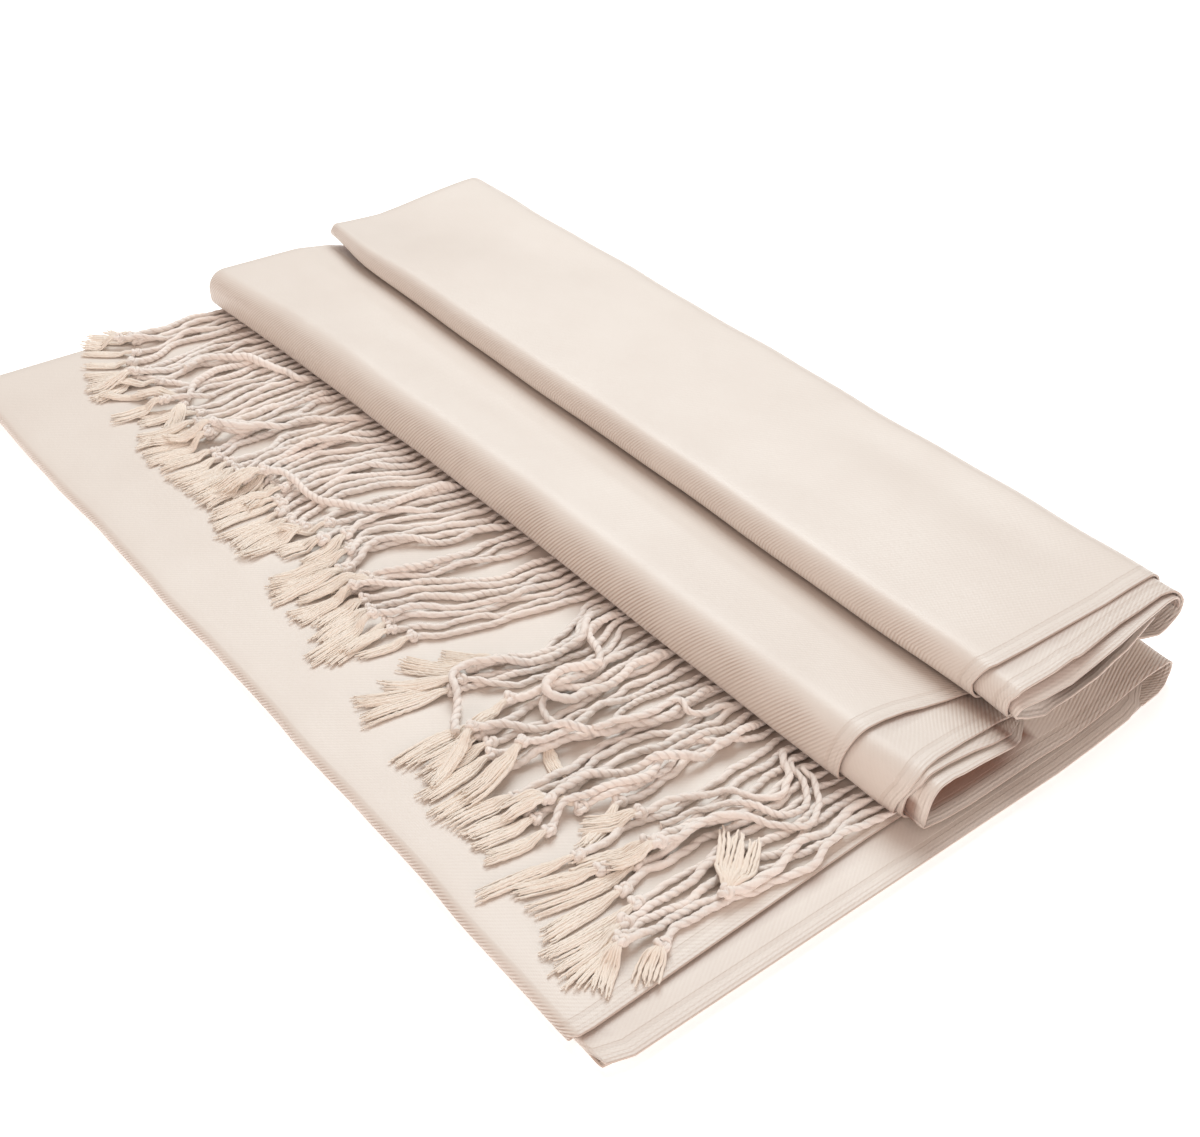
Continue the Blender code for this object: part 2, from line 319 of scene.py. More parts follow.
@dataclass(frozen=True)
class Trace:
    """A path across the bundle, stepped alike at every place along the folds."""

    bends_at: Callable[[float], tuple[Bend, ...]]
    far: float
    run_step: float = 2.8
    arc_step: float = 1.2
    sample: float = 3.0
    near: float = 184.0

    @staticmethod
    def legs(bends: Sequence[Bend]) -> list[tuple]:
        """Splits a path into its straight runs and arcs.

        Args:
            bends: The path's ends and bends in order.

        Returns:
            ("run", start, end) and ("arc", centre, arm, turn, first normal) in order.
        """
        legs: list[tuple] = []
        here = np.array((bends[0].y, bends[0].z))
        for before, bend, after in zip(bends, bends[1:], bends[2:]):
            into = np.array((bend.y - before.y, bend.z - before.z))
            out = np.array((after.y - bend.y, after.z - bend.z))
            into, out = into / np.linalg.norm(into), out / np.linalg.norm(out)
            turn = math.atan2(into[0] * out[1] - into[1] * out[0], into @ out)
            side = 1.0 if turn > 0.0 else -1.0
            start = np.array((bend.y, bend.z)) - bend.radius * math.tan(abs(turn) / 2.0) * into
            normal = np.array((into[1], -into[0]))
            centre = start - side * bend.radius * normal
            legs.append(("run", here, start))
            legs.append(("arc", centre, start - centre, turn, normal))
            here = np.array((bend.y, bend.z)) + bend.radius * math.tan(abs(turn) / 2.0) * out
        legs.append(("run", here, np.array((bends[-1].y, bends[-1].z))))
        return legs

    @cached_property
    def steps(self) -> list[int]:
        """How many steps each leg takes, the same at every place."""
        counts = []
        for leg in self.legs(self.bends_at(0.0)):
            if leg[0] == "run":
                length = float(np.linalg.norm(leg[2] - leg[1]))
                counts.append(0 if length < 0.05 else max(1, round(length / self.run_step)))
            else:
                length = abs(leg[3]) * float(np.linalg.norm(leg[2]))
                counts.append(max(2, math.ceil(abs(leg[3]) / 0.3), round(length / self.arc_step)))
        return counts

    def row(self, x: float) -> np.ndarray:
        """The path's points and inward normals at x.

        Args:
            x: The place along the folds.

        Returns:
            Rows of y, z, and the y and z of the normal.
        """
        found: list[tuple[float, float, float, float]] = []
        for leg, count in zip(self.legs(self.bends_at(x)), self.steps):
            first = 0 if not found else 1
            if leg[0] == "run":
                _, start, end = leg
                along = (end - start) / max(1e-9, float(np.linalg.norm(end - start)))
                for step in range(first, count + 1 if count else 0):
                    point = start + (end - start) * step / max(1, count)
                    found.append((*point, along[1], -along[0]))
            else:
                _, centre, arm, turn, normal = leg
                for step in range(first, count + 1):
                    c, s = math.cos(turn * step / count), math.sin(turn * step / count)
                    spin = np.array(((c, -s), (s, c)))
                    found.append((*(centre + spin @ arm), *(spin @ normal)))
        return np.array(found)

    @cached_property
    def places(self) -> np.ndarray:
        """The places along the folds at which the path is worked out."""
        return np.arange(self.far - self.sample, self.near, self.sample)

    @cached_property
    def table(self) -> np.ndarray:
        """The path's rows at each place."""
        return np.stack([self.row(float(x)) for x in self.places])

    def at(self, x: np.ndarray, depth: float) -> tuple[np.ndarray, np.ndarray]:
        """The path at one x for each column, moved into its fold.

        Args:
            x: A place along the folds for each column of each row.
            depth: How far into the fold the ply lies.

        Returns:
            The y and z of each point.
        """
        spot = np.clip((x - self.places[0]) / self.sample, 0.0, len(self.places) - 1.001)
        low = spot.astype(int)
        share = (spot - low)[..., None]
        columns = np.arange(x.shape[-1])
        found = self.table[low, columns] * (1.0 - share) + self.table[low + 1, columns] * share
        return found[..., 0] + depth * found[..., 2], found[..., 1] + depth * found[..., 3]


@dataclass(frozen=True)
class Crease:
    """A soft trough (depth above zero) or ridge (below zero) placed across a leaf."""

    start: tuple[float, float]
    end: tuple[float, float]
    depth: float
    width: float
    low: float
    high: float
    bow: float = 0.0

    def lift(self, x: np.ndarray, y: np.ndarray, z: np.ndarray) -> np.ndarray:
        """How far the crease moves each point up.

        Args:
            x: Places along the folds.
            y: Places across the bundle.
            z: Heights, which weigh the crease from none at low to all at high.

        Returns:
            The change of each height.
        """
        start, end = np.array(self.start), np.array(self.end)
        length = float(np.linalg.norm(end - start))
        along = (end - start) / length
        share = ((x - start[0]) * along[0] + (y - start[1]) * along[1]) / length
        off = -(x - start[0]) * along[1] + (y - start[1]) * along[0]
        off = off - self.bow * np.sin(np.clip(share, 0.0, 1.0) * math.pi)
        ends = smooth(share / 0.3) * smooth((1.0 - share) / 0.3)
        weight = smooth((z - self.low) / (self.high - self.low))
        return -self.depth * np.exp(-((off / self.width) ** 2)) * ends * weight


@dataclass(frozen=True)
class Wave:
    """A slow sideways wander of a fold along its length."""

    fold: float
    reach: float
    low: float
    high: float
    sizes: tuple[tuple[float, float, float], ...]

    def push(self, x: np.ndarray, y: np.ndarray, z: np.ndarray) -> np.ndarray:
        """How far the wander moves each point across the bundle.

        Args:
            x: Places along the folds.
            y: Places across the bundle, which fade the wander away from the fold.
            z: Heights, which fade it outside low to high.

        Returns:
            The change of each y.
        """
        wander = sum(size * np.sin(x / length * 2.0 * math.pi + phase) for size, length, phase in self.sizes)
        near = np.exp(-(((y - self.fold) / self.reach) ** 2))
        return wander * near * smooth((z - self.low) / 3.0) * smooth((self.high - z) / 3.0)


@dataclass(frozen=True)
class Dip:
    """A sag of the leaves towards one end, as (y, lift) places, growing from start to end."""

    start: float
    end: float
    low: float
    high: float
    places: tuple[tuple[float, float], ...]

    def lift(self, x: np.ndarray, y: np.ndarray, z: np.ndarray) -> np.ndarray:
        """How far the sag moves each point up.

        Args:
            x: Places along the folds.
            y: Places across the bundle.
            z: Heights, which weigh the sag from none at low to all at high.

        Returns:
            The change of each height.
        """
        most = np.interp(y, [p[0] for p in self.places], [p[1] for p in self.places])
        share = smooth((x - self.start) / (self.end - self.start))
        return most * share * smooth((z - self.low) / (self.high - self.low))


@dataclass(frozen=True)
class Drape:
    """The creases, sags and wanders that all the plies share, so that it moves them together."""

    creases: tuple[Crease | Dip, ...]
    waves: tuple[Wave, ...]

    def settle(self, grid: np.ndarray) -> np.ndarray:
        """Moves a grid of points as the cloth has settled.

        Args:
            grid: Points with x, y and z last.

        Returns:
            The moved points.
        """
        x, y, z = grid[..., 0], grid[..., 1], grid[..., 2]
        lift = sum((crease.lift(x, y, z) for crease in self.creases), np.zeros_like(z))
        push = sum((wave.push(x, y, z) for wave in self.waves), np.zeros_like(z))
        return np.stack([x, y + push, z + lift], axis=-1)


# ---------------------------------------------------------------- shader maths


class Wire:
    """A socket's value in a node tree, on which Python's operators add Math nodes."""

    def __init__(self, bench: "Bench", socket: bpy.types.NodeSocket) -> None:
        """Keeps the bench that makes nodes and the socket that gives the value."""
        self.bench = bench
        self.socket = socket

    def maths(self, operation: str, *values: "Wire | float") -> "Wire":
        """A Math node of the operation on this value and the others."""
        return self.bench.make("ShaderNodeMath", {"operation": operation}, dict(enumerate((self, *values))))

    def __add__(self, other: "Wire | float") -> "Wire":
        """This plus the other."""
        return self.maths("ADD", other)

    __radd__ = __add__

    def __mul__(self, other: "Wire | float") -> "Wire":
        """This times the other."""
        return self.maths("MULTIPLY", other)

    __rmul__ = __mul__

    def __sub__(self, other: "Wire | float") -> "Wire":
        """This less the other."""
        return self.maths("SUBTRACT", other)

    def __rsub__(self, other: float) -> "Wire":
        """A number less this."""
        return self.bench.make("ShaderNodeMath", {"operation": "SUBTRACT"}, {0: other, 1: self})

    def __truediv__(self, other: "Wire | float") -> "Wire":
        """This over the other."""
        return self.maths("DIVIDE", other)

    def sine(self) -> "Wire":
        """The sine of this angle."""
        return self.maths("SINE")

    def between(self, low: float, high: float) -> "Wire":
        """0 below low, 1 above high and smooth between them."""
        return self.bench.make(
            "ShaderNodeMapRange", {"interpolation_type": "SMOOTHSTEP"},
            {"Value": self, "From Min": low, "From Max": high}, "Result",
        )


class Bench:
    """Makes the nodes of one material."""

    def __init__(self, name: str) -> None:
        """Starts a material with an empty node tree.

        Args:
            name: The material's name.
        """
        self.material = bpy.data.materials.new(name)
        self.material.use_nodes = True
        self.tree = self.material.node_tree
        self.tree.nodes.clear()

    def make(self, kind: str, settings: dict | None = None, values: dict | None = None,
             output: str | int = 0) -> Wire:
        """Makes one node.

        Args:
            kind: The node's type.
            settings: Its properties, set before its sockets.
            values: A number, tuple or Wire for each input, by name or index.
            output: The name or index of the output to hand back.

        Returns:
            The chosen output.
        """
        node = self.tree.nodes.new(kind)
        for name, value in (settings or {}).items():
            setattr(node, name, value)
        for name, value in (values or {}).items():
            if isinstance(value, Wire):
                self.tree.links.new(value.socket, node.inputs[name])
            else:
                node.inputs[name].default_value = value
        return Wire(self, node.outputs[output])

    def blend(self, share: Wire | float, first: Wire | tuple, second: Wire | tuple) -> Wire:
        """A colour between two colours."""
        return self.make(
            "ShaderNodeMix", {"data_type": "RGBA"}, {0: share, 6: first, 7: second}, 2,
        )

    def noise(self, place: Wire, scale: float, detail: float = 2.0) -> Wire:
        """A noise value about a half, at so many lumps a metre."""
        return self.make("ShaderNodeTexNoise", {}, {"Vector": place, "Scale": scale, "Detail": detail})

    def bump(self, height: Wire, unit: float) -> Wire:
        """A normal from a height, in units of so many metres."""
        return self.make("ShaderNodeBump", {}, {"Height": height, "Distance": unit, "Strength": 1.0})

    def finish(self, **sockets: "Wire | float | tuple") -> bpy.types.Material:
        """Ends the material with a Principled shader.

        Args:
            **sockets: The shader's inputs, with underscores for spaces.

        Returns:
            The material.
        """
        shader = self.make(
            "ShaderNodeBsdfPrincipled", {},
            {name.replace("_", " "): value for name, value in sockets.items()},
        )
        end = self.tree.nodes.new("ShaderNodeOutputMaterial")
        self.tree.links.new(shader.socket, end.inputs["Surface"])
        return self.material


# ---------------------------------------------------------------- finishes


@dataclass(frozen=True)
class SatinTwill:
    """Soft cream satin twill, with slanting lines, a low sheen and a plain woven edge."""

    name: str
    colour: tuple[float, float, float, float]
    shade: tuple[float, float, float, float]
    # Painted shade colour for the twill's grooves and the ply's cut edges.
    groove_shade: tuple[float, float, float, float] = (0.50, 0.37, 0.30, 1.0)
    # Painted shade: the dark colour blended in where the cloth lies in creases, mouths and under the edges of
    # other plies.
    painted_shade: tuple[float, float, float, float] = (0.26, 0.13, 0.09, 1.0)
    line_pitch: float = 1.05
    slant: float = 52.5
    line_height: float = 0.11
    stripe: tuple[float, float] = (3.7, 4.6)
    roughness: float = 0.38
    sheen: float = 0.25

    def material(self) -> bpy.types.Material:
        """The finish as a material, whose pattern and painted shade follow the cloth's own UV map and
        attributes.
        """
        bench = Bench(self.name)
        cloth = bench.make("ShaderNodeUVMap", {"uv_map": "cloth"}, {}, "UV")
        place = bench.make("ShaderNodeTexCoord", {}, {}, "Object")
        parts = bench.make("ShaderNodeSeparateXYZ", {}, {0: cloth}).socket.node.outputs
        across, along = Wire(bench, parts[0]), Wire(bench, parts[1])
        edge, ribs, painted_shade_share = (bench.make("ShaderNodeAttribute", {"attribute_name": name}, {}, "Fac")
                            for name in ("edge_gap", "ribs", "painted_shade_share"))
        slant = math.radians(self.slant)
        turn = 2.0 * math.pi / (self.line_pitch * MM)
        drift = bench.noise(place, 22.0)
        line = (along * (turn * math.sin(slant)) + across * (turn * math.cos(slant)) + drift * 3.0).sine()
        thread = (along * (2.0 * math.pi / (0.42 * MM)) - across * (2.0 * math.pi / (0.6 * MM))).sine()
        clear = ribs * (bench.noise(place, 45.0, 1.0).between(0.28, 0.6) * 0.45 + 0.55)
        low, high = (value * MM for value in self.stripe)
        stripe = edge.between(low - 0.3 * MM, low) - edge.between(high, high + 0.3 * MM)
        selvedge = (edge * (2.0 * math.pi / (1.1 * MM))).sine() * (1.0 - edge.between(1.6 * MM, 3.0 * MM))
        cloudy = bench.noise(place, 14.0, 3.0)
        fine = bench.noise(place, 900.0, 1.0)
        sunk = 0.5 - line * 0.5
        pattern = line * (clear + 0.08) * 0.5 + thread * 0.08 + selvedge * 0.4 - stripe * 0.7 + fine * 0.25
        mottle = bench.noise(place, 55.0, 3.0).between(0.35, 0.7)
        tone = cloudy.between(0.3, 0.75) * 0.3 + mottle * 0.12 + stripe * 0.6 + 0.06
        cream = bench.blend(tone, self.colour, self.shade)
        # The twill lines are the cloth's pattern; their grooves are painted darker, as painted shade, most
        # where ribs is high.
        lined = bench.blend(sunk * sunk * clear, cream, self.groove_shade)
        # Painted shade along the ply's cut edge, a thin dark line standing in for the shadow gap under it.
        rim = 1.0 - edge.between(0.02 * MM, 0.3 * MM)
        # The base colour carries painted shade: the edge's dark line, the twill's darker grooves and the
        # shade share.
        return bench.finish(
            Base_Color=bench.blend(painted_shade_share, bench.blend(rim * 0.6, lined, self.groove_shade), self.painted_shade),
            Roughness=cloudy * 0.16 + (self.roughness - 0.08),
            Normal=bench.bump(cloudy * 0.5 + pattern * self.line_height, MM),
            Sheen_Weight=self.sheen, Sheen_Roughness=0.4, Specular_IOR_Level=0.5,
        )


@dataclass(frozen=True)
class TwistedYarn:
    """Cream yarn of two twisted plies, with fine fibres lying along them."""

    name: str
    colour: tuple[float, float, float, float]
    shade: tuple[float, float, float, float]
    fibre_pitch: float = 0.8
    # How strongly the seam's painted shade darkens the colour.
    seam: float = 0.38
    roughness: float = 0.7
    # Painted shade colour for the seam between the plies.
    groove_shade: tuple[float, float, float, float] = (0.46, 0.33, 0.27, 1.0)

    def material(self) -> bpy.types.Material:
        """The finish as a material, whose fibres follow the yarn's own attributes."""
        bench = Bench(self.name)
        place = bench.make("ShaderNodeTexCoord", {}, {}, "Object")
        along = bench.make("ShaderNodeAttribute", {"attribute_name": "along"}, {}, "Fac")
        ring = bench.make("ShaderNodeAttribute", {"attribute_name": "ring"}, {}, "Vector")
        parts = bench.make("ShaderNodeSeparateXYZ", {}, {0: ring}).socket.node.outputs
        angle = Wire(bench, parts[1]).maths("ARCTAN2", Wire(bench, parts[0]))
        # Painted shade in the seam between the yarn's two twisted plies; the seam also sinks the bump.
        seam = (
            (Wire(bench, parts[1]) * Wire(bench, parts[1])).between(0.72, 1.0)
            * bench.noise(place, 90.0).between(0.3, 0.6)
        )
        drift = bench.noise(place, 300.0, 2.0)
        fibre = (along * (2.0 * math.pi / (self.fibre_pitch * MM)) + angle * 4.0 + drift * 3.0).sine()
        fine = bench.noise(place, 1500.0, 2.0)
        cloudy = bench.noise(place, 60.0, 2.0)
        tone = cloudy.between(0.3, 0.75) * 0.5 + fibre * 0.10 + fine * 0.15
        cream = bench.blend(tone, self.colour, self.shade)
        return bench.finish(
            Base_Color=bench.blend(seam * self.seam, cream, self.groove_shade),
            Roughness=fine * 0.1 + self.roughness,
            Normal=bench.bump(fibre * 0.5 + fine - seam * 2.0, 0.035 * MM),
            Sheen_Weight=0.3, Sheen_Roughness=0.5, Specular_IOR_Level=0.25,
        )


@dataclass(frozen=True)
class PaleFloor:
    """The plain pale floor under the bundle."""

    name: str = "pale floor"
    glow: float = 0.5

    def material(self) -> bpy.types.Material:
        """The floor's matt material."""
        bench = Bench(self.name)
        return bench.finish(
            Base_Color=(0.95, 0.95, 0.95, 1.0), Roughness=0.9, Specular_IOR_Level=0.1,
            Emission_Color=(1.0, 1.0, 1.0, 1.0), Emission_Strength=self.glow,
        )


CREAM = SatinTwill("cream satin twill", (0.80, 0.728, 0.665, 1.0), (0.72, 0.635, 0.57, 1.0))
CREAM_ASKEW = replace(CREAM, name="cream satin twill, pulled askew", slant=65.0)
# A darker copy of the cream twill for the hidden layers, painted darker as shade inside the folds.
CREAM_SHADED_INSIDE = SatinTwill("cream twill inside the folds, painted darker as shade", (0.66, 0.56, 0.48, 1.0), (0.54, 0.44, 0.37, 1.0))
YARN = TwistedYarn("cream twisted yarn", (0.98, 0.905, 0.85, 1.0), (0.93, 0.82, 0.745, 1.0))
BRUSH_YARN = TwistedYarn("untwisted yarn ends", (0.97, 0.885, 0.795, 1.0), (0.92, 0.79, 0.675, 1.0), 1.6, 0.2)


class Slot(Enum):
    """The material slots, one kept on each sheet."""

    TWILL = "twill"
    HIDDEN_TWILL = "hidden_twill"
    TWISTED_YARN = "twisted_yarn"


# ---------------------------------------------------------------- cloth


@dataclass
class ClothPly:
    """One ply of a sheet: its depth in the fold, its near edge and its looks.

    The twill lines, whose grooves are painted shade, show by folds on its bends, above the height
    of lines_from, and by strip, as (y, share) places, at its near edge. The cloth gets a painted
    shadow, as strong as shade, under the near edge of its cover, and painted shade on the lower run
    further in than mouth, which is (y, gap) places.
    """

    depth: float
    edge: NearEdge
    far: float | None = None
    folds: float = 1.0
    strip: tuple[tuple[float, float], ...] = ((0.0, 0.1),)
    cover: NearEdge | None = None
    # How strong the painted shadow under the cover's near edge is.
    shade: float = 0.5
    mouth: tuple[tuple[float, float], ...] = ((0.0, 500.0),)
    lines_from: float = -9.0
    strip_reach: float = 26.0
    shade_reach: float = 1.9

    def marks(self, points: np.ndarray, gap: np.ndarray) -> np.ndarray:
        """How clearly the twill shows and how much painted shade the cloth gets at each point.

        Args:
            points: The ply's grid of points.
            gap: Each point's gap to the near edge.

        Returns:
            The two shares, from 0 to 1, last.
        """
        x, y, z = points[..., 0], points[..., 1], points[..., 2]
        face = np.cross(np.gradient(points, axis=0), np.gradient(points, axis=1))
        level = np.abs(face[..., 2]) / np.maximum(np.linalg.norm(face, axis=-1), 1e-9)
        strip = np.interp(y, [p[0] for p in self.strip], [p[1] for p in self.strip])
        # The twill's painted groove shade shows more on faces tilted away from level, where light grazes
        # them, than on level tops.
        bent = self.folds * smooth((1.0 - level) / 0.45) * smooth((z - self.lines_from) / 4.0)
        nearer = 0.45 + 0.55 * smooth((x - BUNDLE.far) / 220.0)
        ribs = 0.05 + 0.95 * bent * nearer + strip * smooth(1.0 - gap / self.strip_reach)
        # Painted shade share: colour darkening that stands in for shade in the creases, under the cover's
        # edge and inside the mouths.
        painted_shade_share = BUNDLE.painted_shade(x, y, z)
        # Painted shadow on this ply just beyond the near edge of the ply that covers it.
        if self.cover is not None:
            reach, _ = self.cover.at(y[-1], z[-10])
            painted_shade_share = np.maximum(painted_shade_share, self.shade * smooth((reach + self.shade_reach - x) / self.shade_reach))
        # Painted shade inside the fold's mouth, on the lower run further in than the mouth's gap.
        mouth = np.interp(y, [p[0] for p in self.mouth], [p[1] for p in self.mouth])
        mouth_shade = smooth((gap - mouth) / 2.5) * smooth((40.0 - gap) / 10.0) * smooth((13.5 - z) / 1.5)
        painted_shade_share = np.maximum(painted_shade_share, mouth_shade)
        return np.stack([np.clip(ribs, 0.0, 1.0), painted_shade_share], axis=-1)


@dataclass
class ClothSheet:
    """A sheet of one or two plies, the second joined to the first by a turn at the far side."""

    name: str
    trace: Trace
    plies: tuple[ClothPly, ...]
    finish: SatinTwill
    slot: Slot
    nodes: tuple[str, ...]
    rests_on: tuple[str, ...]
    drape: Drape
    row_step: float = 3.0
    turn_steps: int = 6
    wall: float = BUNDLE.wall
    edge_band: float = 18.0
    edge_rows: tuple[float, ...] = (0.16, 0.32, 0.46, 0.58, 0.69, 0.79, 0.88, 0.95, 1.0)
    flip: bool = False
    piece: bpy.types.Object | None = field(default=None, init=False)
    flat: tuple[float, float] = field(default=(0.0, 0.0), init=False)

    def ply_grid(self, ply: ClothPly) -> tuple[np.ndarray, np.ndarray]:
        """The points of one ply from its far side to its near edge.

        Args:
            ply: The ply.

        Returns:
            The grid of points, and each one's gap to the near edge.
        """
        far = self.trace.far if ply.far is None else ply.far
        columns = self.trace.table.shape[1]
        y, z = self.trace.at(np.full((1, columns), ply.edge.most), ply.depth)
        reach, lift = ply.edge.at(y[0], z[0])
        inner = float(reach.min()) - self.edge_band
        count = max(2, round((inner - far) / self.row_step))
        rows = [np.full(columns, x) for x in np.linspace(far, inner, count)]
        rows += [inner + (reach - inner) * share for share in self.edge_rows]
        x = np.stack(rows)
        y, z = self.trace.at(x, ply.depth)
        gap = reach - x
        return np.stack([x, y, z + lift * smooth(1.0 - gap / ply.edge.fade)], axis=-1), gap

    def turn_grid(self, first: ClothPly, second: ClothPly) -> np.ndarray:
        """The points of the turn at the far side, from the outer ply to the inner one.

        Args:
            first: The outer ply.
            second: The inner ply.

        Returns:
            The grid of points, without the plies' own last rows.
        """
        radius = (second.depth - first.depth) / 2.0
        far = self.trace.far if first.far is None else first.far
        columns = self.trace.table.shape[1]
        rows = []
        for step in range(1, self.turn_steps):
            angle = math.pi * step / self.turn_steps
            x = np.full((1, columns), far - abs(radius) * math.sin(angle))
            y, z = self.trace.at(x, first.depth + radius * (1.0 - math.cos(angle)))
            rows.append(np.stack([x, y, z], axis=-1)[0])
        return np.stack(rows)

    def grid(self) -> tuple[np.ndarray, np.ndarray, np.ndarray]:
        """The whole sheet's points in rows, their gaps to the near edge and their marks."""
        outer, gap = self.ply_grid(self.plies[0])
        marks = self.plies[0].marks(outer, gap)
        if len(self.plies) == 1:
            return outer, gap, marks
        turn = self.turn_grid(self.plies[0], self.plies[1])
        inner, inner_gap = self.ply_grid(self.plies[1])
        inner_marks = self.plies[1].marks(inner, inner_gap)
        return (
            np.concatenate([outer[::-1], turn, inner]),
            np.concatenate([gap[::-1], np.repeat(gap[:1], len(turn), axis=0), inner_gap]),
            np.concatenate([marks[::-1], np.repeat(marks[:1], len(turn), axis=0), inner_marks]),
        )

    def build(self) -> bpy.types.Object:
        """Builds the sheet's shell and gives it its finish.

        Returns:
            The finished piece.
        """
        points, gap, marks = self.grid()
        points = self.drape.settle(points)
        rows, columns = points.shape[:2]
        down = np.linalg.norm(np.diff(points, axis=0), axis=-1)
        over = np.linalg.norm(np.diff(points, axis=1), axis=-1)
        v = np.concatenate([np.zeros((1, columns)), np.cumsum(down, axis=0)])
        u = np.concatenate([np.zeros((rows, 1)), np.cumsum(over, axis=1)], axis=1)
        if self.flip:
            u = -u
        self.flat = (float(np.mean(np.abs(u[:, -1]))) * MM, float(np.mean(v[-1])) * MM)
        mesh = bpy.data.meshes.new(self.name)
        index = np.arange(rows * columns).reshape(rows, columns)
        faces = np.stack([index[:-1, :-1], index[:-1, 1:], index[1:, 1:], index[1:, :-1]], axis=-1)
        mesh.from_pydata((points.reshape(-1, 3) * MM).tolist(), [], faces.reshape(-1, 4).tolist())
        uv = mesh.uv_layers.new(name="cloth")
        corners = np.stack([u, v], axis=-1).reshape(-1, 2)[faces.reshape(-1)] * MM
        uv.data.foreach_set("uv", corners.astype(np.float32).ravel())
        # The painted shade share goes onto the mesh as an attribute beside the edge gap and the twill's ribs.
        for name, values in (("edge_gap", gap * MM), ("ribs", marks[..., 0]), ("painted_shade_share", marks[..., 1])):
            kept = mesh.attributes.new(name, "FLOAT", "POINT")
            kept.data.foreach_set("value", values.reshape(-1).astype(np.float32))
        mesh.shade_smooth()
        mesh.update()
        raw = bpy.data.objects.new(self.name, mesh)
        bpy.context.scene.collection.objects.link(raw)
        wall = raw.modifiers.new("Wall", "SOLIDIFY")
        wall.thickness = self.wall * MM
        wall.offset = 0.0
        round_edge = raw.modifiers.new("Edge", "BEVEL")
        round_edge.width = 0.16 * MM
        round_edge.segments = 1
        round_edge.limit_method = "ANGLE"
        round_edge.angle_limit = math.radians(60.0)
        self.piece = plain_mesh(raw, self.finish.material())
        return self.piece

    def place(self) -> None:
        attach(self.piece, ROOT)
        if self.nodes:
            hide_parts(*self.nodes)


def plain_mesh(raw: bpy.types.Object, material: bpy.types.Material) -> bpy.types.Object:
    """Turns an object with modifiers into a plain mesh object of the same name.

    Args:
        raw: The object, which is removed.
        material: The finish of the new object.

    Returns:
        The new object, at the origin.
    """
    name = raw.name
    graph = bpy.context.evaluated_depsgraph_get()
    mesh = bpy.data.meshes.new_from_object(
        raw.evaluated_get(graph), preserve_all_data_layers=True, depsgraph=graph)
    bpy.data.objects.remove(raw)
    piece = bpy.data.objects.new(name, mesh)
    mesh.name = name
    mesh.materials.clear()
    mesh.materials.append(material)
    mesh.shade_smooth()
    bpy.context.scene.collection.objects.link(piece)
    return piece


# ---------------------------------------------------------------- fringe


class End(Enum):
    """How a strand of the fringe ends."""

    BRUSH = "knot and brush"
    TUCKED = "tucked under its neighbours"


@dataclass(frozen=True)
class Strand:
    """A fringe strand: its root, the places it passes, its brush's tip, its thickness and fraying."""

    root: float
    route: tuple[tuple[float, float], ...]
    tip: tuple[float, float] | None = None
    thick: float = 1.0
    fray: float = 1.0

    @property
    def end(self) -> End:
        """How the strand ends."""
        return End.BRUSH if self.tip else End.TUCKED


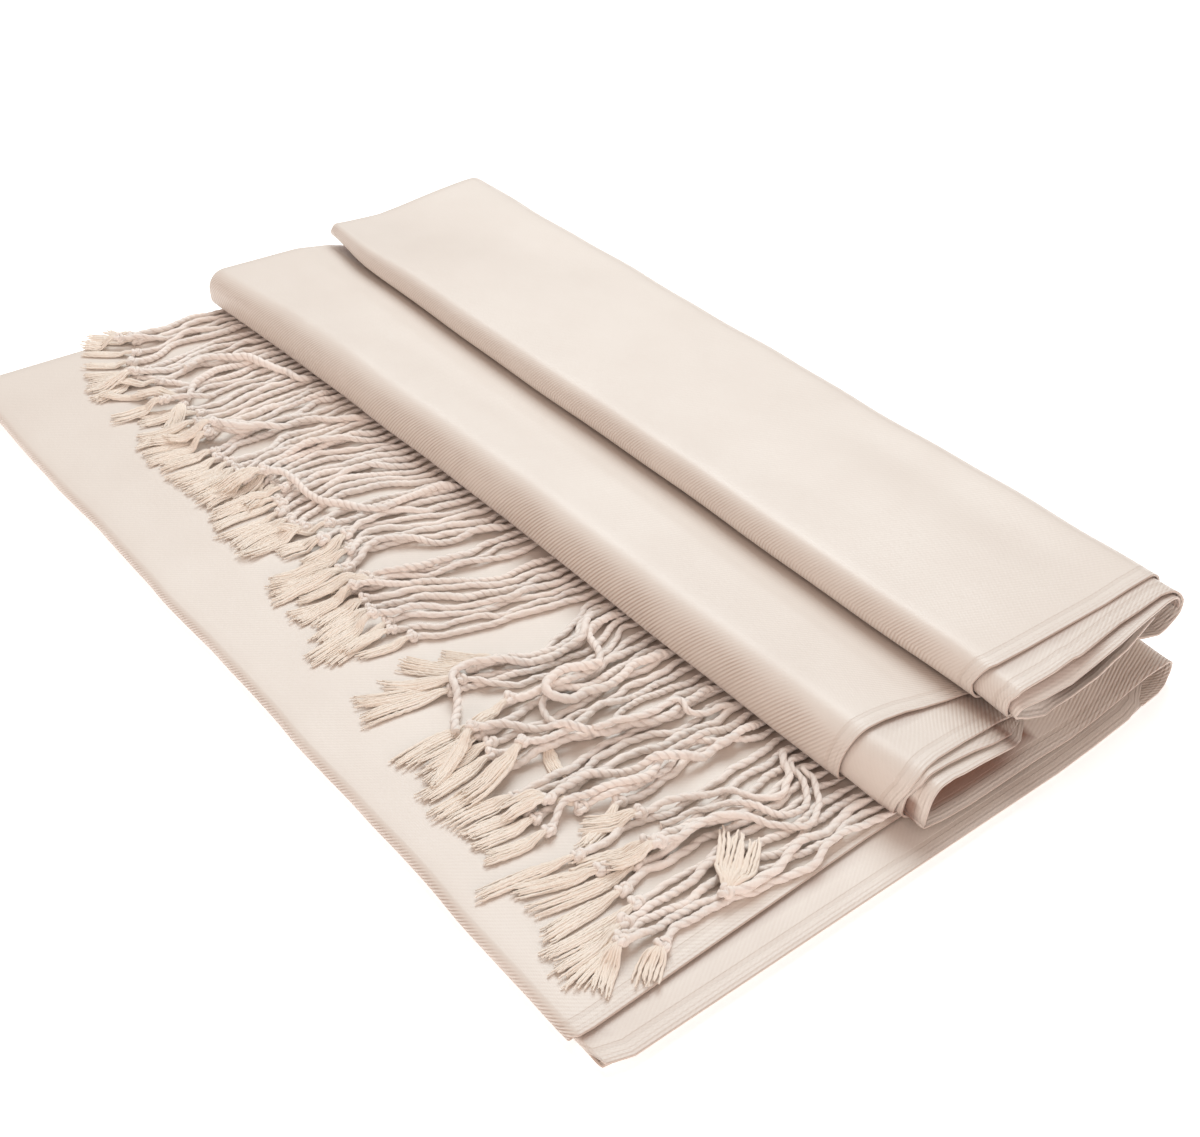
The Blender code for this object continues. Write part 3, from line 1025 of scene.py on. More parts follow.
STRANDS = (
    Strand(-175, ((-176, -26), (-175, -40), (-176, -50)), (-185, -57)),
    Strand(-171, ((-172, -26), (-170, -38), (-171, -50)), (-184, -64)),
    Strand(-167, ((-167, -24), (-167, -36), (-168, -48), (-172, -56)), (-181, -68)),
    Strand(-163, ((-163, -24), (-166, -32), (-162, -42), (-163, -54)), (-174, -69)),
    Strand(-159.5, ((-160, -26), (-161, -38), (-157, -48), (-157, -58)), (-166, -73)),
    Strand(-153, ((-153, -26), (-153, -38), (-150, -48), (-149, -60)), (-158, -76)),
    Strand(-149, ((-149, -24), (-150, -34), (-147, -46), (-148, -56)), (-152, -78)),
    Strand(-145, ((-146, -26), (-147, -38), (-143, -50), (-146, -62)), (-147, -79)),
    Strand(-141, ((-142, -24), (-138, -32), (-142, -42), (-140, -54), (-146, -62)), (-141, -80)),
    Strand(-137, ((-136, -24), (-134, -36), (-131, -48), (-138, -56)), (-146, -70)),
    Strand(-133, ((-132, -24), (-132, -38), (-126, -50), (-118, -57)), (-108, -68)),
    Strand(-129, ((-128, -28), (-129, -40), (-128, -52), (-130, -60)), (-141, -77)),
    Strand(-125, ((-124, -30), (-125, -42), (-124, -54)), (-135, -68)),
    Strand(-121, ((-120, -30), (-121, -42), (-119, -52), (-121, -62)), (-126, -80)),
    Strand(-117, ((-117, -26), (-115, -38), (-114, -48), (-115, -56)), (-121, -72)),
    Strand(-113, ((-112, -24), (-112, -36), (-109, -46), (-110, -54)), (-117, -74)),
    Strand(-109, ((-108, -24), (-108, -36), (-106, -48), (-104, -58)), (-110, -78)),
    Strand(-105, ((-104, -24), (-103, -38), (-102, -50), (-103, -60)), (-105, -80)),
    Strand(-101, ((-100, -26), (-100, -40), (-99, -50), (-96, -58)), (-99, -81)),
    Strand(-97, ((-96, -26), (-96, -40), (-95, -50), (-92, -60)), (-93, -82)),
    Strand(-93, ((-94, -18), (-91, -30), (-91, -42), (-88, -52), (-86, -61)), (-88, -80)),
    Strand(-89, ((-88, -26), (-89, -38), (-90, -50), (-96, -58)), (-104, -76)),
    Strand(-85, ((-84, -20), (-86, -32), (-85, -44), (-86, -54), (-82, -62)), (-80, -81)),
    Strand(-81, ((-79, -24), (-80, -36), (-77, -48), (-77, -60)), (-75, -80)),
    Strand(-77, ((-76, -26), (-76, -38), (-74, -48), (-73, -60)), (-69, -79)),
    Strand(-73, ((-72, -26), (-70, -38), (-71, -50), (-69, -60)), (-64, -78)),
    Strand(-69, ((-68, -24), (-70, -36), (-69, -48), (-65, -56)), (-59, -74)),
    Strand(-65, ((-66, -24), (-67, -36), (-66, -46), (-62, -54)), (-56, -70)),
    Strand(-61, ((-62, -20), (-68, -32), (-68, -44), (-65, -54), (-62, -62)), (-60, -79)),
    Strand(-57, ((-60, -22), (-64, -34), (-64, -46), (-60, -56)), (-53, -71)),
    Strand(-53, ((-57, -24), (-60, -36), (-60, -46), (-57, -54)), (-50, -69)),
    Strand(-49, ((-53, -24), (-56, -36), (-55, -46), (-51, -54)), (-54, -78)),
    Strand(-45, ((-49, -24), (-52, -34), (-53, -44), (-49, -58)), (-52, -80)),
    Strand(-41, ((-45, -22), (-49, -34), (-50, -46), (-46, -58)), (-47, -81)),
    Strand(-37, ((-42, -24), (-46, -36), (-46, -46), (-42, -60)), (-41, -82)),
    Strand(-33, ((-38, -24), (-43, -36), (-42, -46), (-37, -60)), (-35, -81)),
    Strand(-29, ((-34, -24), (-40, -36), (-38, -45), (-33, -60)), (-31, -80)),
    Strand(-25, ((-28, -24), (-31, -34), (-30, -46), (-30, -58)), (-28, -81)),
    Strand(-21, ((-25, -24), (-27, -36), (-24, -46), (-22, -56)), (-25, -72)),
    Strand(-17, ((-21, -24), (-23, -36), (-22, -44), (-25, -52)), (-33, -66)),
    Strand(-13, ((-16, -22), (-20, -34), (-20, -42), (-17, -51)), (-14, -68)),
    Strand(-9, ((-12, -22), (-17, -34), (-19, -42), (-21, -50), (-19, -58)), (-22, -71)),
    Strand(-5, ((-8, -22), (-12, -33), (-16, -42), (-14, -52)), (-11, -69)),
    Strand(-1, ((-4, -22), (-9, -34), (-13, -44), (-10, -54)), (-11, -81)),
    Strand(3, ((1, -20), (-4, -32), (-8, -42), (-9, -51), (-5, -60)), (-9, -83)),
    Strand(7, ((4, -18), (1, -28), (-5, -38), (-9, -47), (-4, -58)), (-4, -84)),
    Strand(11, ((10, -20), (11, -30), (11, -38), (8, -48), (4, -57)), (0, -78)),
    Strand(15, ((14, -20), (13, -30), (11, -40), (8, -50), (7, -62)), (5, -84)),
    Strand(19, ((19, -18), (16, -28), (13, -38), (10, -48), (8, -56)), (2, -70)),
    Strand(28, ((27, -20), (23, -32), (17, -42), (11, -52), (8, -63)), (9, -84)),
    Strand(31.5, ((30, -22), (26, -32), (20, -42), (15, -52), (12, -62)), (15, -80)),
    Strand(35, ((34, -22), (30, -34), (24, -44), (19, -54), (17, -63)), (20, -83)),
    Strand(38.5, ((38, -22), (35, -34), (30, -44), (25, -54), (22, -65)), (26, -89)),
    Strand(42, ((40, -20), (38, -32), (34, -42), (28, -52), (25, -62)), (31, -85)),
    Strand(45.5, ((43, -20), (42, -32), (38, -42), (34, -52), (29, -63)), (30, -80)),
    Strand(49, ((46, -20), (45, -32), (42, -42), (39, -52), (35, -60)), (33, -77)),
    Strand(52.5, ((55, -16), (59, -23), (61, -30), (61, -38), (58, -46)), (46, -58)),
    Strand(56, ((59, -18), (63, -26), (64, -36), (60, -47), (57, -54)), (42, -69)),
    Strand(60, ((64, -20), (65, -30), (66, -40), (62, -51), (58, -61)), (49, -88)),
    Strand(64, ((68, -20), (69, -32), (67, -42), (64, -52), (61, -63)), (56, -90)),
    Strand(68, ((72, -20), (74, -32), (71, -42), (66, -52), (60, -60)), (47, -78)),
    Strand(72, ((75, -20), (76, -32), (76, -44), (74, -54), (76, -64)), (76, -91)),
    Strand(76, ((77, -20), (79, -34), (78, -46), (80, -58), (80, -68)), (81, -86)),
    Strand(80, ((81, -20), (82, -32), (80, -42), (82, -48), (87, -51), (92, -49))),
    Strand(84, ((85, -20), (84, -32), (86, -44), (86, -56), (84, -67)), (84, -89)),
    Strand(88, ((89, -22), (89, -36), (88, -47), (90, -58), (88, -69)), (90, -92)),
    Strand(92, ((92, -20), (91, -32), (92, -42), (95, -53), (92, -62)), (97, -85)),
    Strand(96, ((95, -20), (95, -34), (97, -44), (93, -55)), (105, -60)),
    Strand(100, ((100, -22), (100, -34), (98, -46), (95, -58), (94, -70)), (97, -94)),
    Strand(104, ((104, -20), (103, -30), (103, -40), (103, -52), (104, -62), (104, -73)), (102, -92)),
    Strand(108, ((109, -20), (107, -32), (105, -44), (106, -56), (107, -68), (109, -73)), (107, -91)),
    Strand(112, ((113, -20), (111, -32), (109, -44), (110, -56), (111, -66), (113, -73)), (111, -91)),
    Strand(116, ((116, -22), (117, -34), (119, -44), (117, -56), (115, -66), (118, -73)), (116, -91)),
    Strand(120, ((119, -22), (121, -34), (122, -44), (121, -53)), (127, -70)),
    Strand(124, ((121, -17), (117, -26), (119, -38), (120, -50), (117, -62)), (106, -70)),
    Strand(128, ((130, -22), (130, -34), (131, -46), (129, -58), (129, -72)), (125, -99)),
    Strand(132, ((133, -22), (136, -34), (136, -46), (138, -58), (136, -70)), (129, -92)),
    Strand(136, ((138, -22), (140, -34), (139, -46), (137, -57)), (131, -76)),
    Strand(140, ((142, -22), (142, -36), (141, -50), (140, -62)), (136, -92)),
    Strand(144, ((145, -20), (144, -34), (144, -48), (142, -62), (144, -70)), (144, -94)),
    Strand(148, ((148, -22), (147, -34), (149, -46), (148, -58), (149, -70)), (149, -97)),
    Strand(152, ((153, -22), (153, -32), (151, -42), (151, -54), (152, -66), (152, -76)), (154, -98)),
    Strand(155.5, ((156, -22), (157, -34), (155, -46), (155, -58), (155, -70), (155, -79)), (159, -97)),
    Strand(161.5, ((161, -24), (160, -38), (158, -50), (158, -64), (158, -75), (157, -81)), (164, -93)),
    Strand(164.5, ((163, -20), (165, -32), (164, -42), (161, -52), (160, -64), (162, -73)), (168, -84)),
)
OVER_STRANDS = (
    Strand(-109, ((-113, -18), (-122, -21), (-130, -24), (-136, -29), (-141, -36), (-140, -46)), None, 1.15),
    Strand(-75, ((-78, -20), (-84, -29), (-85, -38), (-88, -49), (-93, -57)), (-101, -72)),
    Strand(-21, ((-23, -24), (-22, -34), (-26, -42), (-35, -47), (-45, -50), (-54, -51), (-60, -56)),
        (-61, -72), 1.1),
    Strand(62, ((65, -19), (72, -24), (78, -28), (80, -35), (79, -45), (75, -54)), (78, -74), 1.1),
    Strand(103, ((104, -26), (103, -36), (100, -44), (92, -52), (84, -61), (79, -69)), (88, -88), 1.2),
    Strand(133, ((136, -12), (142, -14), (145, -19), (142, -25), (135, -30), (131, -40), (128, -52)),
        (121, -66)),
    Strand(137, ((140, -11), (147, -13), (151, -19), (148, -26), (141, -31), (136, -40), (133, -50)),
        None, 0.9),
    Strand(141, ((146, -10), (153, -14), (155, -22), (151, -29), (145, -34), (142, -44), (140, -56)),
        (137, -70), 0.9),
    Strand(158, ((159, -22), (161, -33), (162, -44), (160.5, -52)), (149, -37), 1.1, 2.5),
    Strand(84, ((84, -20), (85, -32), (85, -42), (82, -47), (78, -45), (78, -38), (80, -28)), None, 1.1),
    Strand(111, ((111, -14), (108, -20), (103, -19), (101, -25), (103, -34), (100, -46)), None, 1.0),
    Strand(121, ((122, -26), (118, -38), (113, -48), (110, -58), (111, -68)), (107, -80), 1.2, 1.4),
    Strand(57, ((60, -16), (66, -24), (66, -36), (63, -46), (57, -56), (59, -63), (68, -67), (76, -73))),
)


@dataclass
class HeightField:
    """How high the fringe has piled up over the base leaf."""

    floor: float
    low: tuple[float, float] = (-205.0, -115.0)
    high: tuple[float, float] = (190.0, 15.0)
    cell: float = 0.5
    heights: np.ndarray = field(init=False)

    def __post_init__(self) -> None:
        """Starts with the bare floor."""
        size = [int((h - l) / self.cell) + 1 for l, h in zip(self.low, self.high)]
        self.heights = np.full(size, self.floor)

    def patch(self, place: tuple[float, float], reach: float) -> tuple[slice, slice, np.ndarray]:
        """The cells within reach of a place.

        Args:
            place: The middle of the patch.
            reach: Its half width.

        Returns:
            The two slices, and each cell's distance from the middle.
        """
        first = [max(0, int((p - reach - l) / self.cell)) for p, l in zip(place, self.low)]
        last = [int((p + reach - l) / self.cell) + 2 for p, l in zip(place, self.low)]
        xs = self.low[0] + np.arange(first[0], min(last[0], self.heights.shape[0])) * self.cell
        ys = self.low[1] + np.arange(first[1], min(last[1], self.heights.shape[1])) * self.cell
        gap = np.hypot(xs[:, None] - place[0], ys[None, :] - place[1])
        return slice(first[0], first[0] + len(xs)), slice(first[1], first[1] + len(ys)), gap

    def under(self, place: tuple[float, float], reach: float) -> float:
        """The highest thing within reach of a place."""
        rows, columns, gap = self.patch(place, reach)
        near = self.heights[rows, columns][gap <= reach]
        return float(near.max()) if near.size else self.floor

    def add(self, place: tuple[float, float], middle: float, radius: float, squash: float = 1.0) -> None:
        """Piles a round yarn's top onto the field.

        Args:
            place: Where the yarn passes.
            middle: The height of its middle.
            radius: Its half width.
            squash: Its half height as a share of the half width.
        """
        rows, columns, gap = self.patch(place, radius)
        top = middle + squash * np.sqrt(np.clip(radius**2 - gap**2, 0.0, None))
        top[gap > radius] = -1.0
        self.heights[rows, columns] = np.maximum(self.heights[rows, columns], top)


def through(points: Sequence[tuple[float, float]], step: float) -> np.ndarray:
    """A smooth curve through points, at even steps.

    Args:
        points: The places it passes.
        step: The distance between the curve's points.

    Returns:
        The curve's points.
    """
    knots = np.array([points[0], *points, points[-1]], float)
    knots[0] = 2 * knots[1] - knots[2]
    knots[-1] = 2 * knots[-2] - knots[-3]
    found = []
    for a, b, c, d in zip(knots, knots[1:], knots[2:], knots[3:]):
        t = np.linspace(0.0, 1.0, 16, endpoint=False)[:, None]
        found.append(0.5 * (
            2 * b + (c - a) * t + (2 * a - 5 * b + 4 * c - d) * t**2 + (3 * b - a - 3 * c + d) * t**3))
    curve = np.concatenate([*found, knots[-2:-1]])
    length = np.concatenate([[0.0], np.cumsum(np.linalg.norm(np.diff(curve, axis=0), axis=1))])
    places = np.linspace(0.0, length[-1], max(3, int(length[-1] / step) + 1))
    return np.stack([np.interp(places, length, curve[:, i]) for i in range(curve.shape[1])], axis=-1)


@dataclass
class YarnTree:
    """The Geometry Nodes tree that turns lines of points into yarn."""

    name: str
    ring_gap: float
    turn_length: float
    pinch: float
    sides: int

    def tree(self) -> bpy.types.NodeTree:
        """Builds the tree.

        Returns:
            The tree, whose inputs are set on the modifier.
        """
        tree = bpy.data.node_groups.new(self.name, "GeometryNodeTree")
        face = tree.interface
        face.new_socket("Lines", in_out="INPUT", socket_type="NodeSocketGeometry")
        for name in ("Ring gap", "Turn length", "Pinch"):
            face.new_socket(name, in_out="INPUT", socket_type="NodeSocketFloat")
        face.new_socket("Sides", in_out="INPUT", socket_type="NodeSocketInt")
        face.new_socket("Finish", in_out="INPUT", socket_type="NodeSocketMaterial")
        face.new_socket("Yarn", in_out="OUTPUT", socket_type="NodeSocketGeometry")
        nodes, link = tree.nodes, tree.links.new
        given = nodes.new("NodeGroupInput").outputs
        result = nodes.new("NodeGroupOutput").inputs

        def node(kind: str, settings: dict | None = None, **values: object) -> bpy.types.Node:
            """Makes a node and joins or sets its inputs by identifier.

            Args:
                kind: The node's type.
                settings: The node's own settings by name.
                values: The sockets to join, or values to set, by the input's identifier.

            Returns:
                The node.
            """
            made = nodes.new(kind)
            for name, value in (settings or {}).items():
                setattr(made, name, value)
            sockets = {s.identifier: s for s in made.inputs}
            for name, value in values.items():
                if isinstance(value, bpy.types.NodeSocket):
                    link(value, sockets[name])
                else:
                    sockets[name].default_value = value
            return made

        width = node("GeometryNodeInputNamedAttribute", {"data_type": "FLOAT"}, Name="half_width").outputs[0]
        lines = node("GeometryNodeMeshToCurve", Mesh=given["Lines"]).outputs[0]
        lines = node("GeometryNodeSetCurveRadius", Curve=lines, Radius=width).outputs[0]
        lines = node("GeometryNodeResampleCurve", {"mode": "LENGTH"},
                     Curve=lines, Length=given["Ring gap"]).outputs[0]
        length = node("GeometryNodeSplineParameter").outputs["Length"]
        wound = node("GeometryNodeInputNamedAttribute", {"data_type": "FLOAT"}, Name="wound").outputs[0]
        turns = node("ShaderNodeMath", {"operation": "DIVIDE"},
                     Value=wound, Value_001=given["Turn length"]).outputs[0]
        tilt = node("ShaderNodeMath", {"operation": "MULTIPLY"},
                    Value=turns, Value_001=2.0 * math.pi).outputs[0]
        lines = node("GeometryNodeSetCurveTilt", Curve=lines, Tilt=tilt).outputs[0]
        lines = node("GeometryNodeStoreNamedAttribute", {"data_type": "FLOAT", "domain": "POINT"},
                     Geometry=lines, Name="along", Value=length).outputs[0]
        circle = node("GeometryNodeCurvePrimitiveCircle", {"mode": "RADIUS"},
                      Resolution=given["Sides"], Radius=1.0).outputs[0]
        spot = node("GeometryNodeInputPosition").outputs[0]
        circle = node("GeometryNodeStoreNamedAttribute", {"data_type": "FLOAT_VECTOR", "domain": "POINT"},
                      Geometry=circle, Name="ring", Value=spot).outputs[0]
        parts = node("ShaderNodeSeparateXYZ", Vector=spot).outputs
        high = node("ShaderNodeMath", {"operation": "MULTIPLY"},
                    Value=parts[1], Value_001=parts[1]).outputs[0]
        cut = node("ShaderNodeMath", {"operation": "MULTIPLY"},
                   Value=high, Value_001=given["Pinch"]).outputs[0]
        size = node("ShaderNodeMath", {"operation": "SUBTRACT"}, Value=1.0, Value_001=cut).outputs[0]
        pinched = node("ShaderNodeVectorMath", {"operation": "SCALE"}, Vector=spot, Scale=size).outputs[0]
        circle = node("GeometryNodeSetPosition", Geometry=circle, Position=pinched).outputs[0]
        scale = node("GeometryNodeInputRadius").outputs[0]
        yarn = nodes.new("GeometryNodeCurveToMesh")
        link(lines, yarn.inputs["Curve"])
        link(circle, yarn.inputs["Profile Curve"])
        link(scale, yarn.inputs["Scale"])
        yarn.inputs["Fill Caps"].default_value = True
        whole = node("GeometryNodeRealizeInstances", Geometry=yarn.outputs[0]).outputs[0]
        whole = node("GeometryNodeSetMaterial", Geometry=whole, Material=given["Finish"]).outputs[0]
        link(whole, result["Yarn"])
        return tree

    @staticmethod
    def wound(lines: Sequence[tuple[np.ndarray, np.ndarray]]) -> np.ndarray:
        """How far each yarn is wound along its length, some tighter than others and none evenly.

        Args:
            lines: Each yarn's points and half widths in millimetres.

        Returns:
            The wound length at each point of them all.
        """
        found = []
        for index, (line, _) in enumerate(lines):
            length = np.concatenate([[0.0], np.cumsum(np.linalg.norm(np.diff(line, axis=0), axis=1))])
            pace = 0.75 + 0.6 * ((index * 0.618) % 1.0)
            found.append(length * pace + 1.3 * np.sin(length / 6.5 + index) + 2.4 * index)
        return np.concatenate(found)

    def spin(self, name: str, lines: Sequence[tuple[np.ndarray, np.ndarray]],
             finish: TwistedYarn) -> bpy.types.Object:
        """Makes yarn of lines of points.

        Args:
            name: The piece's name.
            lines: Each yarn's points and half widths in millimetres.
            finish: The yarn's finish.

        Returns:
            The finished piece.
        """
        points = np.concatenate([line for line, _ in lines])
        widths = np.concatenate([width for _, width in lines])
        ends = np.cumsum([len(line) for line, _ in lines])
        edges = [(i, i + 1) for i in range(len(points) - 1) if i + 1 not in set(ends.tolist())]
        mesh = bpy.data.meshes.new(name)
        mesh.from_pydata((points * MM).tolist(), edges, [])
        for label, values in (("half_width", widths), ("wound", self.wound(lines))):
            kept = mesh.attributes.new(label, "FLOAT", "POINT")
            kept.data.foreach_set("value", (values * MM).astype(np.float32))
        raw = bpy.data.objects.new(name, mesh)
        bpy.context.scene.collection.objects.link(raw)
        material = finish.material()
        tree = self.tree()
        spinning = raw.modifiers.new("Yarn", "NODES")
        spinning.node_group = tree
        given = {"Ring gap": self.ring_gap * MM, "Turn length": self.turn_length * MM, "Pinch": self.pinch,
                 "Sides": self.sides, "Finish": material}
        for item in tree.interface.items_tree:
            if item.in_out == "INPUT" and item.name in given:
                spinning[item.identifier] = given[item.name]
        return plain_mesh(raw, material)


@dataclass
class Fringe:
    """The knotted fringe: twisted strands, their knots and their brush ends."""

    bundle: Bundle
    radius: float = 1.22
    floor: float = 4.72
    knot_size: float = 1.5
    brush_width: float = 4.9
    locks: int = 13
    splits: tuple[float, ...] = (-66.0, 52.0)
    seed: int = 41
    pieces: list[bpy.types.Object] = field(default_factory=list, init=False)

    def laid(self, strand: Strand, pile: HeightField, chance: random.Random) -> tuple[np.ndarray, np.ndarray]:
        """Lays one strand on what already lies there.

        Args:
            strand: The strand's places.
            pile: What lies there, onto which the strand is added.
            chance: The source of its small waves.

        Returns:
            The strand's points and half widths.
        """
        fold = self.bundle.middle_fold(strand.root)
        start = [(strand.root + 0.3, fold + 4.6), (strand.root, fold + 1.0), (strand.root, fold - 3.0)]
        flat = through([*start, *strand.route], 1.0)
        ahead = np.gradient(flat, axis=0)
        ahead /= np.linalg.norm(ahead, axis=1)[:, None]
        side = np.stack([-ahead[:, 1], ahead[:, 0]], axis=-1)
        place = np.arange(len(flat))
        ends = smooth(place / 10.0) * smooth((place[-1] - place) / 6.0)
        sway = np.zeros(len(flat))
        for length, size in ((31.0, 1.0), (17.0, 0.6), (9.0, 0.3)):
            sway += (size * chance.uniform(0.3, 1.0)
                     * np.sin(place / length * 2.0 * math.pi + chance.uniform(0.0, 6.3)))
        flat = flat + side * (sway * ends)[:, None]
        radius = self.radius * strand.thick * (0.5 + 0.5 * smooth(place / 7.0)) * chance.uniform(0.84, 1.08)
        radius = radius * (1.0 + 0.07 * np.sin(place / chance.uniform(5.0, 9.0) + chance.uniform(0.0, 6.3)))
        under = np.array([pile.under((p[0], p[1]), 0.55 * r) for p, r in zip(flat, radius)])
        height = np.maximum(under - 0.25, self.floor) + 0.86 * radius
        spread = np.pad(height, 4, mode="edge")
        most = np.max(np.stack([spread[i:i + len(height)] for i in range(9)]), axis=0)
        spread = np.pad(most, 4, mode="edge")
        height = np.mean(np.stack([spread[i:i + len(height)] for i in range(9)]), axis=0)
        root = smooth((place - 2.0) / 8.0)
        height = np.minimum(height, 5.5 + (height - 5.5) * root + 0.3)
        for p, z, r in zip(flat, height, radius):
            pile.add((p[0], p[1]), float(z), float(r), 0.86)
        return np.column_stack([flat, height]), radius

    def knot(self, middle: np.ndarray, ahead: np.ndarray,
             chance: random.Random) -> tuple[np.ndarray, np.ndarray]:
        """A tight overhand knot.

        Args:
            middle: The knot's middle.
            ahead: The strand's direction across the floor.
            chance: The source of its lean and size.

        Returns:
            The knot's points and half widths.
        """
        t = np.linspace(0.0, 2.0 * math.pi * 0.97, 40)
        size = self.knot_size * chance.uniform(0.9, 1.12)
        loop = np.column_stack([
            (np.sin(t) + 2.0 * np.sin(2.0 * t)) / 3.0,
            (np.cos(t) - 2.0 * np.cos(2.0 * t)) / 3.0,
            -np.sin(3.0 * t) / 2.4,
        ]) * size
        angle = math.atan2(ahead[1], ahead[0]) + chance.uniform(-0.4, 0.4)
        turn = np.array(Matrix.Rotation(angle, 3, "Z") @ Matrix.Rotation(chance.uniform(-0.5, 0.5), 3, "X"))
        return loop @ turn.T + middle, np.full(len(t), 0.95 * size / 1.5)

    def brush(self, knot: np.ndarray, strand: Strand, pile: HeightField,
              chance: random.Random) -> list[tuple[np.ndarray, np.ndarray]]:
        """The untwisted end of a strand, fanned flat from its knot to a ragged end.

        Args:
            knot: The knot's middle.
            strand: The strand, with the middle of its cut end and how far it frays.
            pile: What lies there, onto which the brush is added.
            chance: The source of its unevenness.

        Returns:
            The points and half widths of each lock.
        """
        ahead = np.array(strand.tip) - knot[:2]
        length = float(np.linalg.norm(ahead))
        ahead /= length
        side = np.array((-ahead[1], ahead[0]))
        width = self.brush_width * strand.fray * chance.uniform(0.6, 1.2)
        bow, slope = chance.uniform(-1.2, 1.2), chance.uniform(-1.2, 1.2)
        steps = max(6, int(length / 1.1))
        share = np.linspace(0.0, 1.0, steps + 1)
        spine = knot[:2] + np.outer(share * length, ahead) + np.outer(np.sin(share * math.pi) * bow, side)
        under = np.array([pile.under((p[0], p[1]), 0.28 * width) for p in spine])
        level = np.maximum(under, self.floor) + 0.55
        level = np.convolve(np.pad(level, 2, mode="edge"), np.ones(5) / 5.0, mode="valid")
        level = level * smooth(share * 3.0) + knot[2] * (1.0 - smooth(share * 3.0))
        found = []
        for index in range(self.locks):
            off = (index / (self.locks - 1) - 0.5) * 2.0
            layer = 0.16 if index % 2 else 0.0
            fan = off * (0.5 * width) * (0.25 + 0.75 * smooth(share * 2.2))
            crimp = 0.14 * np.sin(share * length / chance.uniform(2.2, 3.2) * 2.0 * math.pi + index * 0.7)
            reach = 1.0 + (chance.uniform(-1.7, 1.0) + slope * off) / length
            stray = chance.uniform(-0.7, 0.7) * strand.fray * share**3
            place = spine[0] + (spine - spine[0]) * reach + np.outer(
                fan + crimp + stray + chance.uniform(-0.15, 0.15), side)
            crown = 0.35 * (1.0 - off**2) + layer
            height = level + crown + 0.1 * np.sin(share * length / 2.7 * 2.0 * math.pi + index)
            half = (0.38 * chance.uniform(0.8, 1.15) * (0.55 + 0.45 * smooth(share * 5.0))
                    * (1.0 - 0.4 * smooth(share * 5.0 - 4.0)))
            half = half * (0.6 + 0.4 * strand.fray)
            found.append((np.column_stack([place, height]), half))
        for p, z in zip(spine, level):
            pile.add((p[0], p[1]), float(z) - 0.2, 0.42 * width, 0.4)
        return found

    def build(self) -> list[bpy.types.Object]:
        """Builds the whole fringe in a few pieces from the far side to the near side.

        Returns:
            The finished pieces.
        """
        chance = random.Random(self.seed)
        pile = HeightField(self.floor)
        groups: dict[int, dict[str, list]] = {}
        order = sorted(STRANDS, key=lambda strand: (round(strand.root) % 3, strand.root))
        for strand in (*order, *OVER_STRANDS):
            group = sum(strand.root > split for split in self.splits)
            kept = groups.setdefault(group, {"strands": [], "knots": [], "brushes": []})
            line, radius = self.laid(strand, pile, chance)
            kept["strands"].append((line, radius))
            if strand.end is End.TUCKED:
                continue
            ahead = line[-1, :2] - line[-4, :2]
            ahead = ahead / np.linalg.norm(ahead)
            middle = np.array((*(line[-1, :2] + ahead * 0.8), line[-1, 2] + 0.35))
            kept["knots"].append(self.knot(middle, ahead, chance))
            pile.add((middle[0], middle[1]), float(middle[2]), 2.2, 0.8)
            kept["brushes"] += self.brush(middle, strand, pile, chance)
        rope = YarnTree("twisted yarn", 0.68, 6.6, 0.16, 10)
        tight = YarnTree("knotted yarn", 0.45, 5.0, 0.2, 8)
        loose = YarnTree("untwisted lock", 1.25, 40.0, 0.25, 6)
        for group, place in enumerate(("far", "middle", "near")):
            kept = groups[group]
            self.pieces.append(rope.spin(f"fringe_strands_{place}", kept["strands"], YARN))
            self.pieces.append(tight.spin(f"fringe_knots_{place}", kept["knots"], YARN))
            self.pieces.append(loose.spin(f"fringe_brushes_{place}", kept["brushes"], BRUSH_YARN))
        return self.pieces

    def place(self) -> None:
        """Joins the fringe to the model."""
        for piece in self.pieces:
            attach(piece, ROOT)
            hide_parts("fringe")


# ---------------------------------------------------------------- the near edges


BASE_OUTER = NearEdge((
    Hem(90.0, 0.5, 165.0), Hem(-98.0, 0.5, 166.0), Hem(-105.0, 2.4, 167.6), Hem(-103.0, 4.4, 169.6),
    Hem(-98.0, 4.4, 169.8), Hem(-10.0, 4.4, 166.2), Hem(97.0, 4.4, 165.5),
))
BASE_INNER = NearEdge((
    Hem(90.0, 1.8, 175.0, -1.1), Hem(80.0, 1.8, 176.4, -1.3), Hem(64.0, 1.8, 177.4, -1.3),
    Hem(48.0, 1.8, 178.0, -1.3), Hem(-90.0, 1.8, 178.6, -1.3), Hem(-101.0, 1.8, 176.8, -1.2),
    Hem(-103.8, 2.4, 173.3, -0.2), Hem(-101.5, 3.1, 177.9, -0.3), Hem(-97.0, 3.1, 179.8, -0.4),
    Hem(48.0, 3.1, 179.2, -0.4), Hem(64.0, 3.1, 178.4, -0.5), Hem(80.0, 3.1, 177.2, -0.7),
    Hem(88.0, 3.1, 175.6, -0.9), Hem(92.0, 3.1, 173.4, -1.0), Hem(97.0, 3.1, 169.5, -0.8),
), 10.0)
MIDDLE_OUTER = NearEdge((
    Hem(50.0, 7.0, 149.0), Hem(-5.9, 12.0, 149.6), Hem(-4.0, 21.0, 150.0), Hem(9.0, 22.2, 150.2),
    Hem(16.0, 21.4, 151.0, -0.1), Hem(22.0, 20.5, 152.4, -0.2), Hem(30.0, 19.2, 153.2, -0.2),
    Hem(40.0, 17.0, 153.8), Hem(94.0, 12.1, 154.4),
))
